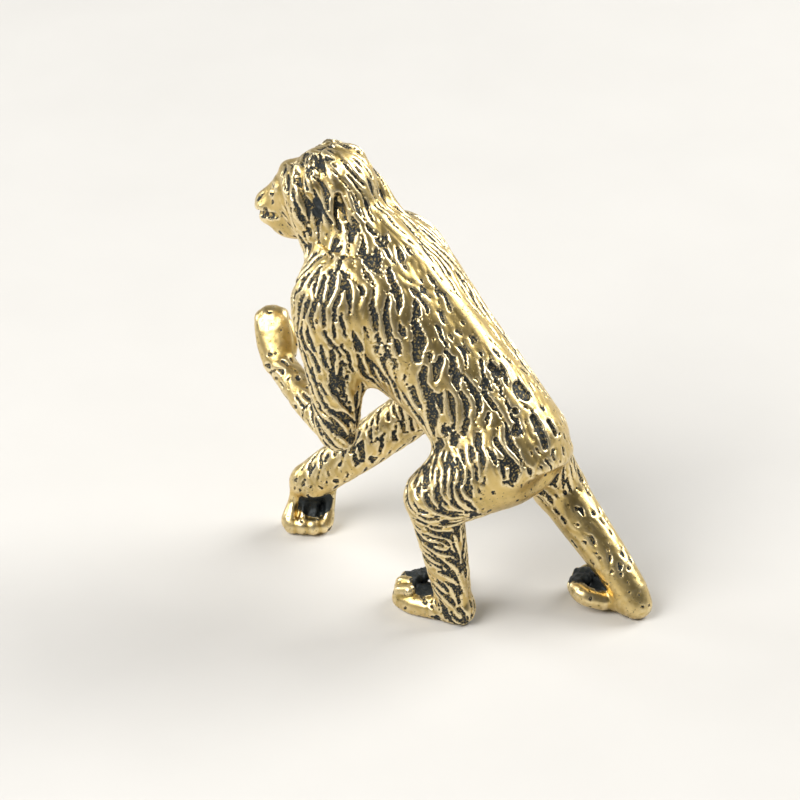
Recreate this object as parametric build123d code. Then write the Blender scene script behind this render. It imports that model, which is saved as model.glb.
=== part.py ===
"""A small solid brass ape, walking on two feet and one hand with the other hand raised.

The figure faces -Y, its left side is +X and it stands on Z = 0. It is cast in one pour from six
sections of pattern, which meet along the neck, the shoulders and the hips: a torso, a head, two
arms and two legs. Sizes are in millimetres and angles in degrees.
"""
from build123d import *
import math
import os

# The stance. The feet are placed from the point below the hips, and the hand on the ground from the
# point below the shoulders.
HIP_HEIGHT = 17.6
TORSO_LENGTH = 26.3
TORSO_PITCH = 44.4
STANCE_HALF_WIDTH = 5.3
LEFT_FOOT_FORWARD = 2.9
RIGHT_FOOT_BACK = 10.9
ANKLE_HEIGHT = 2.5
HAND_AHEAD = 8.3
HAND_OUT = 1.2
WRIST_HEIGHT = 5.1

# The torso, with the depths taken from its axis to the back and to the belly.
CHEST_HALF_WIDTH = 8.0
BACK_DEPTH = 5.9
BELLY_DEPTH = 8.8
RUMP_CAP = 5.0
SHOULDER_OUT = 6.0
SHOULDER_SHARE = 0.815
SHOULDER_SET = 1.5
SHOULDER_REACH = 0.5
HIP_OUT = 3.3

# The head, whose skull is placed from the end of the neck and the rest from the skull's middle.
HEAD_AHEAD = 2.5
HEAD_RISE = 3.0
HEAD_TURN = 8.0
HEAD_NOD = 10.0
SKULL_HALF_WIDTH = 4.5
SKULL_HALF_LENGTH = 5.2
SKULL_HALF_HEIGHT = 5.2
FACE_HALF_WIDTH = 3.3
FACE_HALF_HEIGHT = 4.0
MUZZLE_REACH = 8.3
MUZZLE_DROP = 1.25
MUZZLE_HALF_WIDTH = 2.2
MUZZLE_HALF_HEIGHT = 2.0
BROW_RADIUS = 0.75
EYE_SOCKET_RADIUS = 0.85
EYE_RADIUS = 0.55
EYE_SPACING = 4.0
NOSTRIL_RADIUS = 0.3
NOSTRIL_SPACING = 1.0
MOUTH_GROOVE_RADIUS = 0.32
FRINGE_RADIUS = 1.0
LOCK_RADIUS = 0.7

# The arms.
UPPER_ARM_LENGTH = 13.3
DELTOID_HALF = 3.9
BICEPS_HALF = 2.15
ELBOW_HALF = 1.6
FOREARM_LENGTH = 12.2
FOREARM_HALF = 1.6
WRIST_HALF = 1.35
RAISED_HAND_LENGTH = 5.6
HAND_HALF_WIDTH = 2.1
HAND_HALF_THICKNESS = 1.15
FINGER_RADIUS = 0.68
FINGER_LENGTH = 3.1
THUMB_RADIUS = 0.6
PROP_FOREARM_LENGTH = 15.2
PROP_FOREARM_HALF = 2.45
FINGERTIP_RADIUS = 1.05
CURLED_FINGER_LENGTH = 2.0
CURLED_HAND_BACK = 0.9

# The legs.
SHIN_LENGTH = 12.6
THIGH_HALF = 4.3
KNEE_HALF = 2.8
CALF_HALF = 2.3
ANKLE_HALF = 1.7
TRAILING_THIGH_HALF = 3.2
TRAILING_KNEE_HALF = 2.6
TRAILING_CALF_HALF = 2.2
HEEL_BACK = 2.3
HEEL_HALF_WIDTH = 1.35
FOOT_LENGTH = 5.4
FOOT_HALF_WIDTH = 2.5
FOOT_HALF_HEIGHT = 1.35
TOE_LENGTH = 2.0
TOE_RADIUS = 0.82
BIG_TOE_LENGTH = 3.0
BIG_TOE_RADIUS = 0.9

# How each stretch of limb leans: from straight up, and the compass heading of the lean, where 0 is
# the way the figure faces and 90 is its left.
LEFT_SHIN_LEAN = (10.7, 65.0)
RIGHT_SHIN_LEAN = (48.5, -7.0)
LEFT_UPPER_ARM_LEAN = (164.6, 137.4)
LEFT_FOREARM_LEAN = (78.0, -25.0)
LEFT_HAND_LEAN = (30.0, -35.0)
RIGHT_FOREARM_LEAN = (49.5, -156.0)
LEFT_FOOT_HEADING = -4.0
RIGHT_FOOT_HEADING = -8.0
PROP_HAND_HEADING = 118.0
RAISED_HAND_ROLL = 60.0

# Flats round the outline of a body, a limb and a digit, as a modeller's knife leaves them in wax.
BODY_SIDES = 12
LIMB_SIDES = 8
DIGIT_SIDES = 6
# Sections of a round end: how far out along the cap each lies, and its width.
CAP_SHARES = ((0.55, 0.84), (0.92, 0.39))
DIGIT_CAP_SHARES = ((0.75, 0.62),)
# Lengths of the four fingers and of the four small toes, from the thumb or big toe outwards.
FINGER_SHARES = (0.90, 1.00, 0.97, 0.80)
TOE_SHARES = (1.00, 1.00, 0.90, 0.75)

# Sections of the torso from the rump to the neck: place along the axis, width, back and belly.
TORSO_SHARES = (
    (0.00, 0.79, 1.00, 0.58),
    (0.30, 0.83, 1.02, 0.51),
    (0.45, 0.85, 1.00, 0.73),
    (0.60, 0.93, 1.00, 1.00),
    (0.75, 1.00, 0.97, 1.00),
    (0.88, 0.88, 0.86, 0.80),
    (1.00, 0.60, 0.73, 0.60),
    (1.08, 0.50, 0.66, 0.48),
)
# Sections of the skull from the nape to the hairline: place forward of the middle, and size.
SKULL_SHARES = ((-0.98, 0.25), (-0.80, 0.62), (-0.4, 0.92), (0.0, 1.0), (0.4, 0.95), (0.64, 0.85),
                (0.74, 0.76))
# Sections of the face from inside the hair to the lips: place along the muzzle, share of the drop,
# and shares of the face's and of the muzzle's half width and half height.
FACE_SHARES = (
    (0.10, 0.00, 0.90, 0.00),
    (0.45, 0.10, 0.88, 0.00),
    (0.60, 0.42, 0.52, 0.42),
    (0.75, 0.80, 0.12, 0.83),
    (0.90, 1.00, 0.00, 0.86),
    (0.97, 1.04, 0.00, 0.60),
    (1.00, 1.06, 0.00, 0.24),
)
# Points along the brow: place along the muzzle, out from the middle, rise over the eyes, thickness.
BROW_SHARES = (
    (0.49, -0.80, 0.5, 0.50),
    (0.57, -0.42, 1.2, 0.95),
    (0.59, 0.00, 1.0, 0.80),
    (0.57, 0.42, 1.2, 0.95),
    (0.49, 0.80, 0.5, 0.50),
)
# Points along the thick fringe of the hair round one side of the face, from over the brow to the
# jaw, and along a lock that hangs behind it: shares of the skull's half length, width and height.
FRINGE_SHARES = (
    (0.75, 0.00, 0.58),
    (0.68, 0.38, 0.53),
    (0.53, 0.69, 0.35),
    (0.40, 0.80, 0.04),
    (0.35, 0.73, -0.31),
    (0.31, 0.56, -0.63),
)
LOCK_SHARES = (
    (-0.50, 0.60, 0.42),
    (-0.60, 0.72, 0.10),
    (-0.66, 0.70, -0.20),
)
# Points along the groove between the lips: place along the muzzle, out, and below its middle.
MOUTH_SHARES = (
    (0.72, -1.02, 0.50),
    (0.91, -0.82, 0.30),
    (1.00, 0.00, 0.20),
    (0.91, 0.82, 0.30),
    (0.72, 1.02, 0.50),
)


def heading(angle):
    """The level unit vector at a compass heading, where 0 is -Y and 90 is +X."""
    return Vector(math.sin(math.radians(angle)), -math.cos(math.radians(angle)), 0)


def reach(start, length, lean):
    """The point at a length from start, along a lean of (tilt from up, heading)."""
    tilt = math.radians(lean[0])
    return start + heading(lean[1]) * (length * math.sin(tilt)) + Vector(0, 0, length * math.cos(tilt))


def between(start, end, share):
    """What lies a share of the way from start to end, for points and for sizes."""
    return start + (end - start) * share


def outline(sides, centre, along, side, half_side, half_back, half_front):
    """A closed outline of flats across a limb, egg shaped where its back and front differ."""
    side = (side - along * side.dot(along)).normalized()
    back = along.cross(side)
    points = []
    for step in range(sides):
        angle = 2 * math.pi * (step + 0.5) / sides
        depth = half_back if math.sin(angle) > 0 else half_front
        points.append(centre + side * (half_side * math.cos(angle)) + back * (depth * math.sin(angle)))
    return Wire.make_polygon(points, close=True)


def limb(stations, side, start_cap=0, end_cap=0, sides=LIMB_SIDES):
    """One body through stations of (centre, half side, half back, half front).

    A cap is how far a round end goes past the first or last station, and 0 leaves a flat end.
    """
    first, second = stations[0][0], stations[1][0]
    last, before = stations[-1][0], stations[-2][0]
    ways = [(second - first).normalized()]
    for here in range(1, len(stations) - 1):
        ways.append((stations[here + 1][0] - stations[here - 1][0]).normalized())
    ways.append((last - before).normalized())
    rows = list(zip(stations, ways))
    caps = DIGIT_CAP_SHARES if sides == DIGIT_SIDES else CAP_SHARES
    if start_cap:
        ends = [((first - ways[0] * (start_cap * out),) + scaled(stations[0], size), ways[0])
                for out, size in caps]
        rows = ends[::-1] + rows
    if end_cap:
        rows += [((last + ways[-1] * (end_cap * out),) + scaled(stations[-1], size), ways[-1])
                 for out, size in caps]
    return Solid.make_loft([outline(sides, row[0], way, side, *row[1:]) for row, way in rows], True)


def scaled(station, size):
    """The half sizes of a station, each times size."""
    return tuple(half * size for half in station[1:])


def round_limb(points, halves, side, start_cap=0, end_cap=0, sides=LIMB_SIDES):
    """A limb that is round at each point, with one half thickness a point."""
    return limb([(point, half, half, half) for point, half in zip(points, halves)],
                side, start_cap, end_cap, sides)


def egg(centre, forward, side, half_forward, half_side, half_up):
    """A closed egg-shaped solid about centre."""
    stations = [(centre + forward * (half_forward * share), half_side * size, half_up * size,
                 half_up * size)
                for share, size in ((-0.5, 0.87), (0, 1), (0.5, 0.87))]
    return limb(stations, side, half_forward / 2, half_forward / 2, DIGIT_SIDES)


def fused(*solids):
    """One solid from several that run into each other."""
    whole = solids[0].fuse(*solids[1:])
    return max(whole.solids(), key=lambda solid: solid.volume)


def less(solid, *others):
    """What is left of a solid once the others are taken from it, as its largest piece."""
    rest = solid.cut(*others)
    return max(rest.solids(), key=lambda piece: piece.volume)


SIDE = Vector(1, 0, 0)
UP = Vector(0, 0, 1)
HIPS = UP * HIP_HEIGHT
SPINE = heading(0) * math.cos(math.radians(TORSO_PITCH)) + UP * math.sin(math.radians(TORSO_PITCH))


def shoulder_at(out):
    """The middle of a shoulder, out to the side, set in from the torso's axis towards the belly."""
    return HIPS + SPINE * (TORSO_LENGTH * SHOULDER_SHARE) + SIDE.cross(SPINE) * SHOULDER_SET + SIDE * out


def make_torso():
    """The torso from the rump to the neck, deepest at the chest."""
    stations = []
    for along, width, back, belly in TORSO_SHARES:
        stations.append((HIPS + SPINE * (TORSO_LENGTH * along), CHEST_HALF_WIDTH * width,
                         BACK_DEPTH * back, BELLY_DEPTH * belly))
    return limb(stations, SIDE, RUMP_CAP, 0, BODY_SIDES)


def make_head():
    """The head: a cap of hair with a fringe and locks, and a bare face with brow, eyes and lips."""
    centre = HIPS + SPINE * TORSO_LENGTH + heading(0) * HEAD_AHEAD + UP * HEAD_RISE
    nod = math.radians(HEAD_NOD)
    level = heading(HEAD_TURN)
    forward = level * math.cos(nod) - UP * math.sin(nod)
    side = UP.cross(level)
    up = forward.cross(side)

    def spot(ahead, out, above):
        """A place on the head, from the middle of the skull."""
        return centre + forward * ahead + side * out + up * above

    skull = limb([(spot(SKULL_HALF_LENGTH * along, 0, 0), SKULL_HALF_WIDTH * size,
                   SKULL_HALF_HEIGHT * size, SKULL_HALF_HEIGHT * size)
                  for along, size in SKULL_SHARES], side, 0, 0, BODY_SIDES)
    face_rows = []
    for along, drop, face, muzzle in FACE_SHARES:
        wide = FACE_HALF_WIDTH * face + MUZZLE_HALF_WIDTH * muzzle
        tall = FACE_HALF_HEIGHT * face + MUZZLE_HALF_HEIGHT * muzzle
        face_rows.append((spot(MUZZLE_REACH * along, 0, -MUZZLE_DROP * drop), tall, wide, wide))
    face = limb(face_rows, up, 0, 0, LIMB_SIDES)
    whole = fused(skull, face)
    eye_ahead = MUZZLE_REACH * 0.63
    eye_above = FACE_HALF_HEIGHT * 0.3
    brow = round_limb([spot(MUZZLE_REACH * ahead, FACE_HALF_WIDTH * out, eye_above + BROW_RADIUS * rise)
                       for ahead, out, rise, size in BROW_SHARES],
                      [BROW_RADIUS * size for ahead, out, rise, size in BROW_SHARES], up,
                      BROW_RADIUS / 2, BROW_RADIUS / 2, DIGIT_SIDES)
    whole = fused(whole, brow)
    sockets = [egg(spot(eye_ahead, out, eye_above), forward, side, EYE_SOCKET_RADIUS,
                   EYE_SOCKET_RADIUS, EYE_SOCKET_RADIUS * 0.8)
               for out in (-EYE_SPACING / 2, EYE_SPACING / 2)]
    nose_above = MUZZLE_HALF_HEIGHT * 0.72 - MUZZLE_DROP
    nostrils = [egg(spot(MUZZLE_REACH * 0.93, out, nose_above), forward, side,
                    NOSTRIL_RADIUS * 1.6, NOSTRIL_RADIUS, NOSTRIL_RADIUS)
                for out in (-NOSTRIL_SPACING / 2, NOSTRIL_SPACING / 2)]
    lips = [spot(MUZZLE_REACH * ahead, MUZZLE_HALF_WIDTH * out,
                 -MUZZLE_DROP - MUZZLE_HALF_HEIGHT * below)
            for ahead, out, below in MOUTH_SHARES]
    mouth = round_limb(lips, [MOUTH_GROOVE_RADIUS] * len(lips), up, 0, 0, DIGIT_SIDES)
    whole = less(whole, *sockets, *nostrils, mouth)
    eyes = [egg(spot(eye_ahead - EYE_RADIUS * 0.3, out, eye_above), forward, side, EYE_RADIUS,
                EYE_RADIUS, EYE_RADIUS)
            for out in (-EYE_SPACING / 2, EYE_SPACING / 2)]

    def strand(shares, hand, radius):
        """A strand of hair through shares of the skull, on its left for 1 and right for -1."""
        points = [spot(SKULL_HALF_LENGTH * ahead, SKULL_HALF_WIDTH * hand * out,
                       SKULL_HALF_HEIGHT * above)
                  for ahead, out, above in shares]
        return round_limb(points, [radius] * len(points), forward, radius / 2, radius / 2, DIGIT_SIDES)

    hair = [strand(shares, hand, radius) for hand in (-1, 1)
            for shares, radius in ((FRINGE_SHARES, FRINGE_RADIUS), (LOCK_SHARES, LOCK_RADIUS))]
    return fused(whole, *eyes, *hair)


def make_left_arm():
    """The raised arm, from the shoulder down to the elbow and up to a hand before the chest."""
    shoulder = shoulder_at(SHOULDER_OUT) + heading(0) * SHOULDER_REACH
    elbow = reach(shoulder, UPPER_ARM_LENGTH, LEFT_UPPER_ARM_LEAN)
    wrist = reach(elbow, FOREARM_LENGTH, LEFT_FOREARM_LEAN)
    inner = shoulder - SIDE * (SHOULDER_OUT / 2)
    upper = round_limb([shoulder, between(shoulder, elbow, 0.45), between(shoulder, elbow, 0.8), elbow],
                       [DELTOID_HALF, BICEPS_HALF * 1.24, BICEPS_HALF, ELBOW_HALF],
                       SIDE, DELTOID_HALF * 0.8, ELBOW_HALF * 0.8)
    fore = round_limb([elbow, between(elbow, wrist, 0.45), wrist],
                      [ELBOW_HALF, FOREARM_HALF, WRIST_HALF], UP, ELBOW_HALF * 0.8, WRIST_HALF)
    joint = round_limb([inner, shoulder], [DELTOID_HALF * 0.8] * 2, UP)
    return fused(upper, fore, joint, *raised_hand(wrist))


def raised_hand(wrist):
    """The closed hand: a palm, four fingers side by side and a thumb along the edge."""
    tip = reach(wrist, RAISED_HAND_LENGTH, LEFT_HAND_LEAN)
    along = (tip - wrist).normalized()
    aside = heading(LEFT_HAND_LEAN[1] + RAISED_HAND_ROLL)
    across = (aside - along * aside.dot(along)).normalized()
    inward = along.cross(across)
    knuckles = between(wrist, tip, 0.55)
    thick = HAND_HALF_THICKNESS
    palm = limb([(wrist, WRIST_HALF, WRIST_HALF, WRIST_HALF),
                 (between(wrist, tip, 0.28), HAND_HALF_WIDTH * 0.85, thick, thick),
                 (knuckles, HAND_HALF_WIDTH * 0.9, thick, thick)],
                across, WRIST_HALF * 0.8, thick * 0.8)
    fingers = []
    pitch = (HAND_HALF_WIDTH - FINGER_RADIUS) * 2 / 3
    for count, share in enumerate(reversed(FINGER_SHARES)):
        length = FINGER_LENGTH * share
        base = knuckles + across * (pitch * (count - 1.5)) - along * FINGER_RADIUS
        fingers.append(round_limb([base, base + along * (length * 0.5) + inward * (FINGER_RADIUS * 0.3),
                                   base + along * (length * 0.85) + inward * FINGER_RADIUS],
                                  [FINGER_RADIUS, FINGER_RADIUS, FINGER_RADIUS * 0.9], across,
                                  FINGER_RADIUS * 0.8, FINGER_RADIUS * 0.8, DIGIT_SIDES))
    root = between(wrist, tip, 0.25) + across * (HAND_HALF_WIDTH * 0.7)
    thumb = round_limb([root, root + along * (THUMB_RADIUS * 2.4) + across * (THUMB_RADIUS * 0.8),
                        root + along * (THUMB_RADIUS * 4.4) + across * (THUMB_RADIUS * 0.4)],
                       [THUMB_RADIUS, THUMB_RADIUS, THUMB_RADIUS * 0.8], inward,
                       THUMB_RADIUS * 0.8, THUMB_RADIUS * 0.8, DIGIT_SIDES)
    return [palm, *fingers, thumb]


def make_right_arm():
    """The arm the figure leans on, from the shoulder to the curled hand on the ground."""
    shoulder = shoulder_at(-SHOULDER_OUT)
    wrist = Vector(-HAND_OUT, shoulder.Y - HAND_AHEAD, WRIST_HEIGHT)
    elbow = reach(wrist, PROP_FOREARM_LENGTH, RIGHT_FOREARM_LEAN)
    inner = shoulder + SIDE * (SHOULDER_OUT / 2)
    upper = round_limb([shoulder, between(shoulder, elbow, 0.45), between(shoulder, elbow, 0.8), elbow],
                       [DELTOID_HALF, BICEPS_HALF * 1.24, BICEPS_HALF, PROP_FOREARM_HALF],
                       SIDE, DELTOID_HALF * 0.8, PROP_FOREARM_HALF * 0.8)
    full = PROP_FOREARM_HALF
    fore = round_limb([elbow, between(elbow, wrist, 0.4), between(elbow, wrist, 0.8), wrist],
                      [full, full * 0.97, full * 0.87, full * 0.87], UP, full * 0.8, full * 0.8)
    joint = round_limb([inner, shoulder], [DELTOID_HALF * 0.8] * 2, UP)
    return on_ground(fused(upper, fore, joint, *prop_hand(wrist)))


def prop_hand(wrist):
    """The hand on the ground: its back, a curl of four fingertips under it, and a thumb."""
    row = heading(PROP_HAND_HEADING + 90)
    palm = heading(PROP_HAND_HEADING)
    back_foot = wrist - palm * CURLED_HAND_BACK
    back_foot = Vector(back_foot.X, back_foot.Y, FINGERTIP_RADIUS * 0.7)
    thick = HAND_HALF_THICKNESS
    back = limb([(wrist, PROP_FOREARM_HALF * 0.85, PROP_FOREARM_HALF * 0.75, PROP_FOREARM_HALF * 0.75),
                 (between(wrist, back_foot, 0.5), HAND_HALF_WIDTH, thick, thick),
                 (back_foot, HAND_HALF_WIDTH, thick, thick)],
                row, PROP_FOREARM_HALF * 0.6, FINGERTIP_RADIUS)
    tips = []
    pitch = (HAND_HALF_WIDTH - FINGERTIP_RADIUS / 2) * 2 / 3
    for count, share in enumerate(FINGER_SHARES):
        base = back_foot + row * (pitch * (count - 1.5))
        ahead = CURLED_FINGER_LENGTH * share
        tip = base + palm * ahead + UP * (FINGERTIP_RADIUS * 0.25)
        tips.append(round_limb([base, base + palm * (ahead * 0.6), tip],
                               [FINGERTIP_RADIUS * 0.8, FINGERTIP_RADIUS * 0.85, FINGERTIP_RADIUS * 0.8],
                               row, FINGERTIP_RADIUS * 0.5, FINGERTIP_RADIUS * 0.6, DIGIT_SIDES))
    root = wrist - row * (HAND_HALF_WIDTH * 0.8) - UP * THUMB_RADIUS
    bend = between(root, back_foot, 0.5) - row * THUMB_RADIUS + palm * (THUMB_RADIUS * 1.5)
    tip = back_foot - row * HAND_HALF_WIDTH + palm * (THUMB_RADIUS * 3) + UP * THUMB_RADIUS
    thumb = round_limb([root, bend, tip], [THUMB_RADIUS * 1.2, THUMB_RADIUS * 1.2, THUMB_RADIUS], palm,
                       THUMB_RADIUS * 0.8, THUMB_RADIUS * 0.8, DIGIT_SIDES)
    return [back, *tips, thumb]


def make_leg(hip, thigh_half, knee_half, calf_half, ankle, shin_lean, foot_heading, hand):
    """A leg: a thigh from the hip, a shin leaning up from the ankle, and a foot with five toes.

    hand is 1 for the left leg and -1 for the right.
    """
    knee = reach(ankle, SHIN_LENGTH, shin_lean)
    thigh = round_limb([hip, between(hip, knee, 0.55), knee],
                       [thigh_half, between(knee_half, thigh_half, 0.65), knee_half], SIDE,
                       thigh_half * 0.6, knee_half * 0.8)
    shin = round_limb([knee, between(knee, ankle, 0.35), between(knee, ankle, 0.75), ankle],
                      [knee_half, calf_half, (calf_half + ANKLE_HALF) / 2, ANKLE_HALF],
                      SIDE, knee_half * 0.8, ANKLE_HALF * 0.8)
    return on_ground(fused(thigh, shin, *make_foot(ankle, foot_heading, hand)))


def make_foot(ankle, foot_heading, hand):
    """The foot: heel, arched outer edge, four toes and a big toe that stands apart."""
    ahead = heading(foot_heading)
    inward = heading(foot_heading - 90 * hand)
    sole = Vector(ankle.X, ankle.Y, 0)
    heel = sole - ahead * (HEEL_BACK - HEEL_HALF_WIDTH) + UP * FOOT_HALF_HEIGHT
    arch = sole + ahead * (FOOT_LENGTH * 0.4) + UP * (FOOT_HALF_HEIGHT * 0.9)
    ball = (sole + ahead * (FOOT_LENGTH * 0.75) + inward * (FOOT_HALF_WIDTH * 0.35)
            + UP * (FOOT_HALF_HEIGHT * 0.75))
    body = limb([(heel, HEEL_HALF_WIDTH, FOOT_HALF_HEIGHT * 1.2, FOOT_HALF_HEIGHT * 1.2),
                 (arch, HEEL_HALF_WIDTH * 1.05, FOOT_HALF_HEIGHT * 1.1, FOOT_HALF_HEIGHT * 1.1),
                 (ball, FOOT_HALF_WIDTH, FOOT_HALF_HEIGHT, FOOT_HALF_HEIGHT)],
                inward, HEEL_HALF_WIDTH, FOOT_HALF_HEIGHT)
    leg_base = between(ankle, heel, 0.7)
    ankle_body = round_limb([ankle, leg_base], [ANKLE_HALF, ANKLE_HALF * 0.9], ahead, 0, ANKLE_HALF * 0.6)
    toes = []
    pitch = (FOOT_HALF_WIDTH - TOE_RADIUS * 0.8) * 2 / 3
    for count, share in enumerate(TOE_SHARES):
        base = ball - inward * (pitch * (count - 1.2)) + ahead * (FOOT_HALF_HEIGHT * 0.2)
        base = Vector(base.X, base.Y, TOE_RADIUS * 0.85)
        length = TOE_LENGTH * share
        toes.append(round_limb([base, base + ahead * (length * 0.5) + UP * (TOE_RADIUS * 0.3),
                                base + ahead * length - UP * (TOE_RADIUS * 0.25)],
                               [TOE_RADIUS, TOE_RADIUS, TOE_RADIUS * 0.9], inward,
                               TOE_RADIUS * 0.8, TOE_RADIUS * 0.7, DIGIT_SIDES))
    root = between(arch, ball, 0.35) + inward * (FOOT_HALF_WIDTH * 0.5)
    big = round_limb([root, root + ahead * (BIG_TOE_LENGTH * 0.5) + inward * (BIG_TOE_RADIUS * 1.3),
                      root + ahead * BIG_TOE_LENGTH + inward * (BIG_TOE_RADIUS * 1.4)],
                     [BIG_TOE_RADIUS * 1.1, BIG_TOE_RADIUS, BIG_TOE_RADIUS * 0.95], UP,
                     BIG_TOE_RADIUS * 0.8, BIG_TOE_RADIUS * 0.8, DIGIT_SIDES)
    return [body, ankle_body, *toes, big]


def on_ground(solid):
    """The solid with all that lies below the ground cut off flat."""
    reach_out = TORSO_LENGTH * 2
    below = Plane(origin=(-reach_out, -reach_out, -HIP_HEIGHT))
    return less(solid, Solid.make_box(reach_out * 2, reach_out * 2, HIP_HEIGHT, below))


def build():
    """The six sections, each cut back to the one that carries it."""
    torso = make_torso()
    head = less(make_head(), torso)
    left_arm = less(make_left_arm(), torso, head)
    right_arm = less(make_right_arm(), torso, head)
    left_ankle = Vector(STANCE_HALF_WIDTH, -LEFT_FOOT_FORWARD, ANKLE_HEIGHT)
    right_ankle = Vector(-STANCE_HALF_WIDTH, RIGHT_FOOT_BACK, ANKLE_HEIGHT)
    left_hip = Vector(HIP_OUT, 0, HIP_HEIGHT)
    right_hip = Vector(-HIP_OUT, 0, HIP_HEIGHT)
    left_leg = less(make_leg(left_hip, THIGH_HALF, KNEE_HALF, CALF_HALF, left_ankle, LEFT_SHIN_LEAN,
                             LEFT_FOOT_HEADING, 1), torso)
    right_leg = less(make_leg(right_hip, TRAILING_THIGH_HALF, TRAILING_KNEE_HALF, TRAILING_CALF_HALF,
                              right_ankle, RIGHT_SHIN_LEAN, RIGHT_FOOT_HEADING, -1), torso, left_leg)
    return {"torso": torso, "head": head, "left_arm": left_arm, "right_arm": right_arm,
            "left_leg": left_leg, "right_leg": right_leg}


sections = build()
boxes = [solid.bounding_box() for solid in sections.values()]
middle_x = (min(box.min.X for box in boxes) + max(box.max.X for box in boxes)) / 2
middle_y = (min(box.min.Y for box in boxes) + max(box.max.Y for box in boxes)) / 2
shift = Pos(-middle_x, -middle_y, 0)
os.makedirs("parts", exist_ok=True)
for name, solid in sections.items():
    placed = shift * solid
    placed.label = name
    export_step(placed, "parts/" + name + ".step")
print("moved by", -middle_x, -middle_y)
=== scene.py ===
"""A small cast brass ape that walks on its feet and one hand, with the other hand raised.

The figure is modelled as a carver models wax. A block of clay is a grid of numbers, and each number
is the distance to the skin in millimetres, below zero inside. Lumps for the trunk, the head and the
limbs are pressed together with soft joints and hollows are scooped out. The skin is drawn as a mesh,
the coat is cut into it along the lie of the hair, and the mesh is parted into the six sections of the
figure, which share their edges and their shading.

Lengths are in millimetres and angles in degrees up to the finished mesh, and in metres in the studio.
"""
import logging
from dataclasses import dataclass, field
from enum import IntEnum
from statistics import NormalDist

import bpy
import numpy as np
from mathutils import Matrix


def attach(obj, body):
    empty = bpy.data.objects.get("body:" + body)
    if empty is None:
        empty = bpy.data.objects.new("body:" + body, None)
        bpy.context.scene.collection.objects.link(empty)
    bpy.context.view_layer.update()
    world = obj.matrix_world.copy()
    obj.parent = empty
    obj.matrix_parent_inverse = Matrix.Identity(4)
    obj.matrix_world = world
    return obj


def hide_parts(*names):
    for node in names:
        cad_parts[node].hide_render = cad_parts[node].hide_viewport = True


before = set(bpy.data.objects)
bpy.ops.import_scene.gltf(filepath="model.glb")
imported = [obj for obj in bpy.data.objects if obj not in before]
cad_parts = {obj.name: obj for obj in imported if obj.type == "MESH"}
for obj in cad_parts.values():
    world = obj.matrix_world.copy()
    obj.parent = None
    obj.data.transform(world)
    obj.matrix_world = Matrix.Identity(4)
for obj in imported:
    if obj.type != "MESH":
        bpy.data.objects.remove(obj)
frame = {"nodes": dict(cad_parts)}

Array = np.ndarray
Pair = tuple[float, float]
Place = tuple[float, float, float]
Colour = tuple[float, float, float, float]
Rows = tuple[tuple[float, ...], ...]
Window = tuple[slice, slice, slice]
Socket = bpy.types.NodeSocket

LOG = logging.getLogger("brass_ape")
METRE = 0.001
GRID_STEP = 0.13
BLOCK_LOW = (-10.8, -21.9, -0.6)
BLOCK_HIGH = (10.8, 22.0, 45.0)
STANDING_SHIFT = (-0.166, 0.034, 0.0)
FAR = 6.0
ROUND_MARGIN = 0.6
SCOOP_MARGIN = 0.3
TINY = 1e-9


class Section(IntEnum):
    """The six cast sections, each standing for the node of the same name."""

    TORSO = 1
    HEAD = 2
    LEFT_ARM = 3
    RIGHT_ARM = 4
    LEFT_LEG = 5
    RIGHT_LEG = 6

    @property
    def node(self) -> str:
        """The name of the node that the section stands for."""
        return self.name.lower()


def soft_low(one: Array, other: Array, blend: float) -> Array:
    """The lower of two distances, rounded where they are within a blend of each other.

    The rounding takes away a quarter of the blend times the square of how close they are.

    Args:
        one: The first distances, in millimetres.
        other: The second distances, of the same shape.
        blend: How wide the rounding is, in millimetres.

    Returns:
        The blended distances.
    """
    close = np.maximum(blend - np.abs(one - other), 0) / blend
    return np.minimum(one, other) - close * close * (blend / 4)


def eased(low: float, high: float, value: Array) -> Array:
    """A smooth step from 0 at low to 1 at high: three times the square less twice the cube."""
    share = np.clip((value - low) / (high - low), 0, 1)
    return share * share * (3 - 2 * share)


def unit(vectors: Array) -> Array:
    """The vectors, each divided by its own length."""
    return vectors / np.maximum(np.linalg.norm(vectors, axis=-1, keepdims=True), TINY)


def heading(angle: float) -> Place:
    """The level unit vector at a compass heading, where 0 is the way the figure faces."""
    return (float(np.sin(np.radians(angle))), float(-np.cos(np.radians(angle))), 0.0)


def along_curve(knots: Array, count: int) -> Array:
    """Points along a smooth curve through knots, with any further columns carried along.

    Between two knots the curve is the cubic whose slope at each knot is half the step from the knot
    before to the knot after.

    Args:
        knots: One row a knot, of place and any radius.
        count: How many steps lie between two knots.

    Returns:
        The rows along the curve, ends included.
    """
    padded = np.vstack([2 * knots[0] - knots[1], knots, 2 * knots[-1] - knots[-2]])
    share = np.linspace(0, 1, count, endpoint=False)[None, :, None]
    before, here, after, last = (padded[k:len(padded) - 3 + k, None, :] for k in range(4))
    curve = (here + share * (after - before) / 2
             + share ** 2 * (before - 2.5 * here + 2 * after - last / 2)
             + share ** 3 * (1.5 * (here - after) + (last - before) / 2))
    return np.vstack([curve.reshape(-1, knots.shape[1]), knots[-1]])


def mirrored(rows: Rows, side: int) -> Array:
    """Rows of (ahead, left, up, ...) with left turned to right where side is -1.

    Args:
        rows: Rows of ahead, left, up and more.
        side: 1 to keep left, -1 to turn it right.

    Returns:
        The rows as an array.
    """
    table = np.array(rows, float)
    table[:, 1] *= side
    return table


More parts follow.
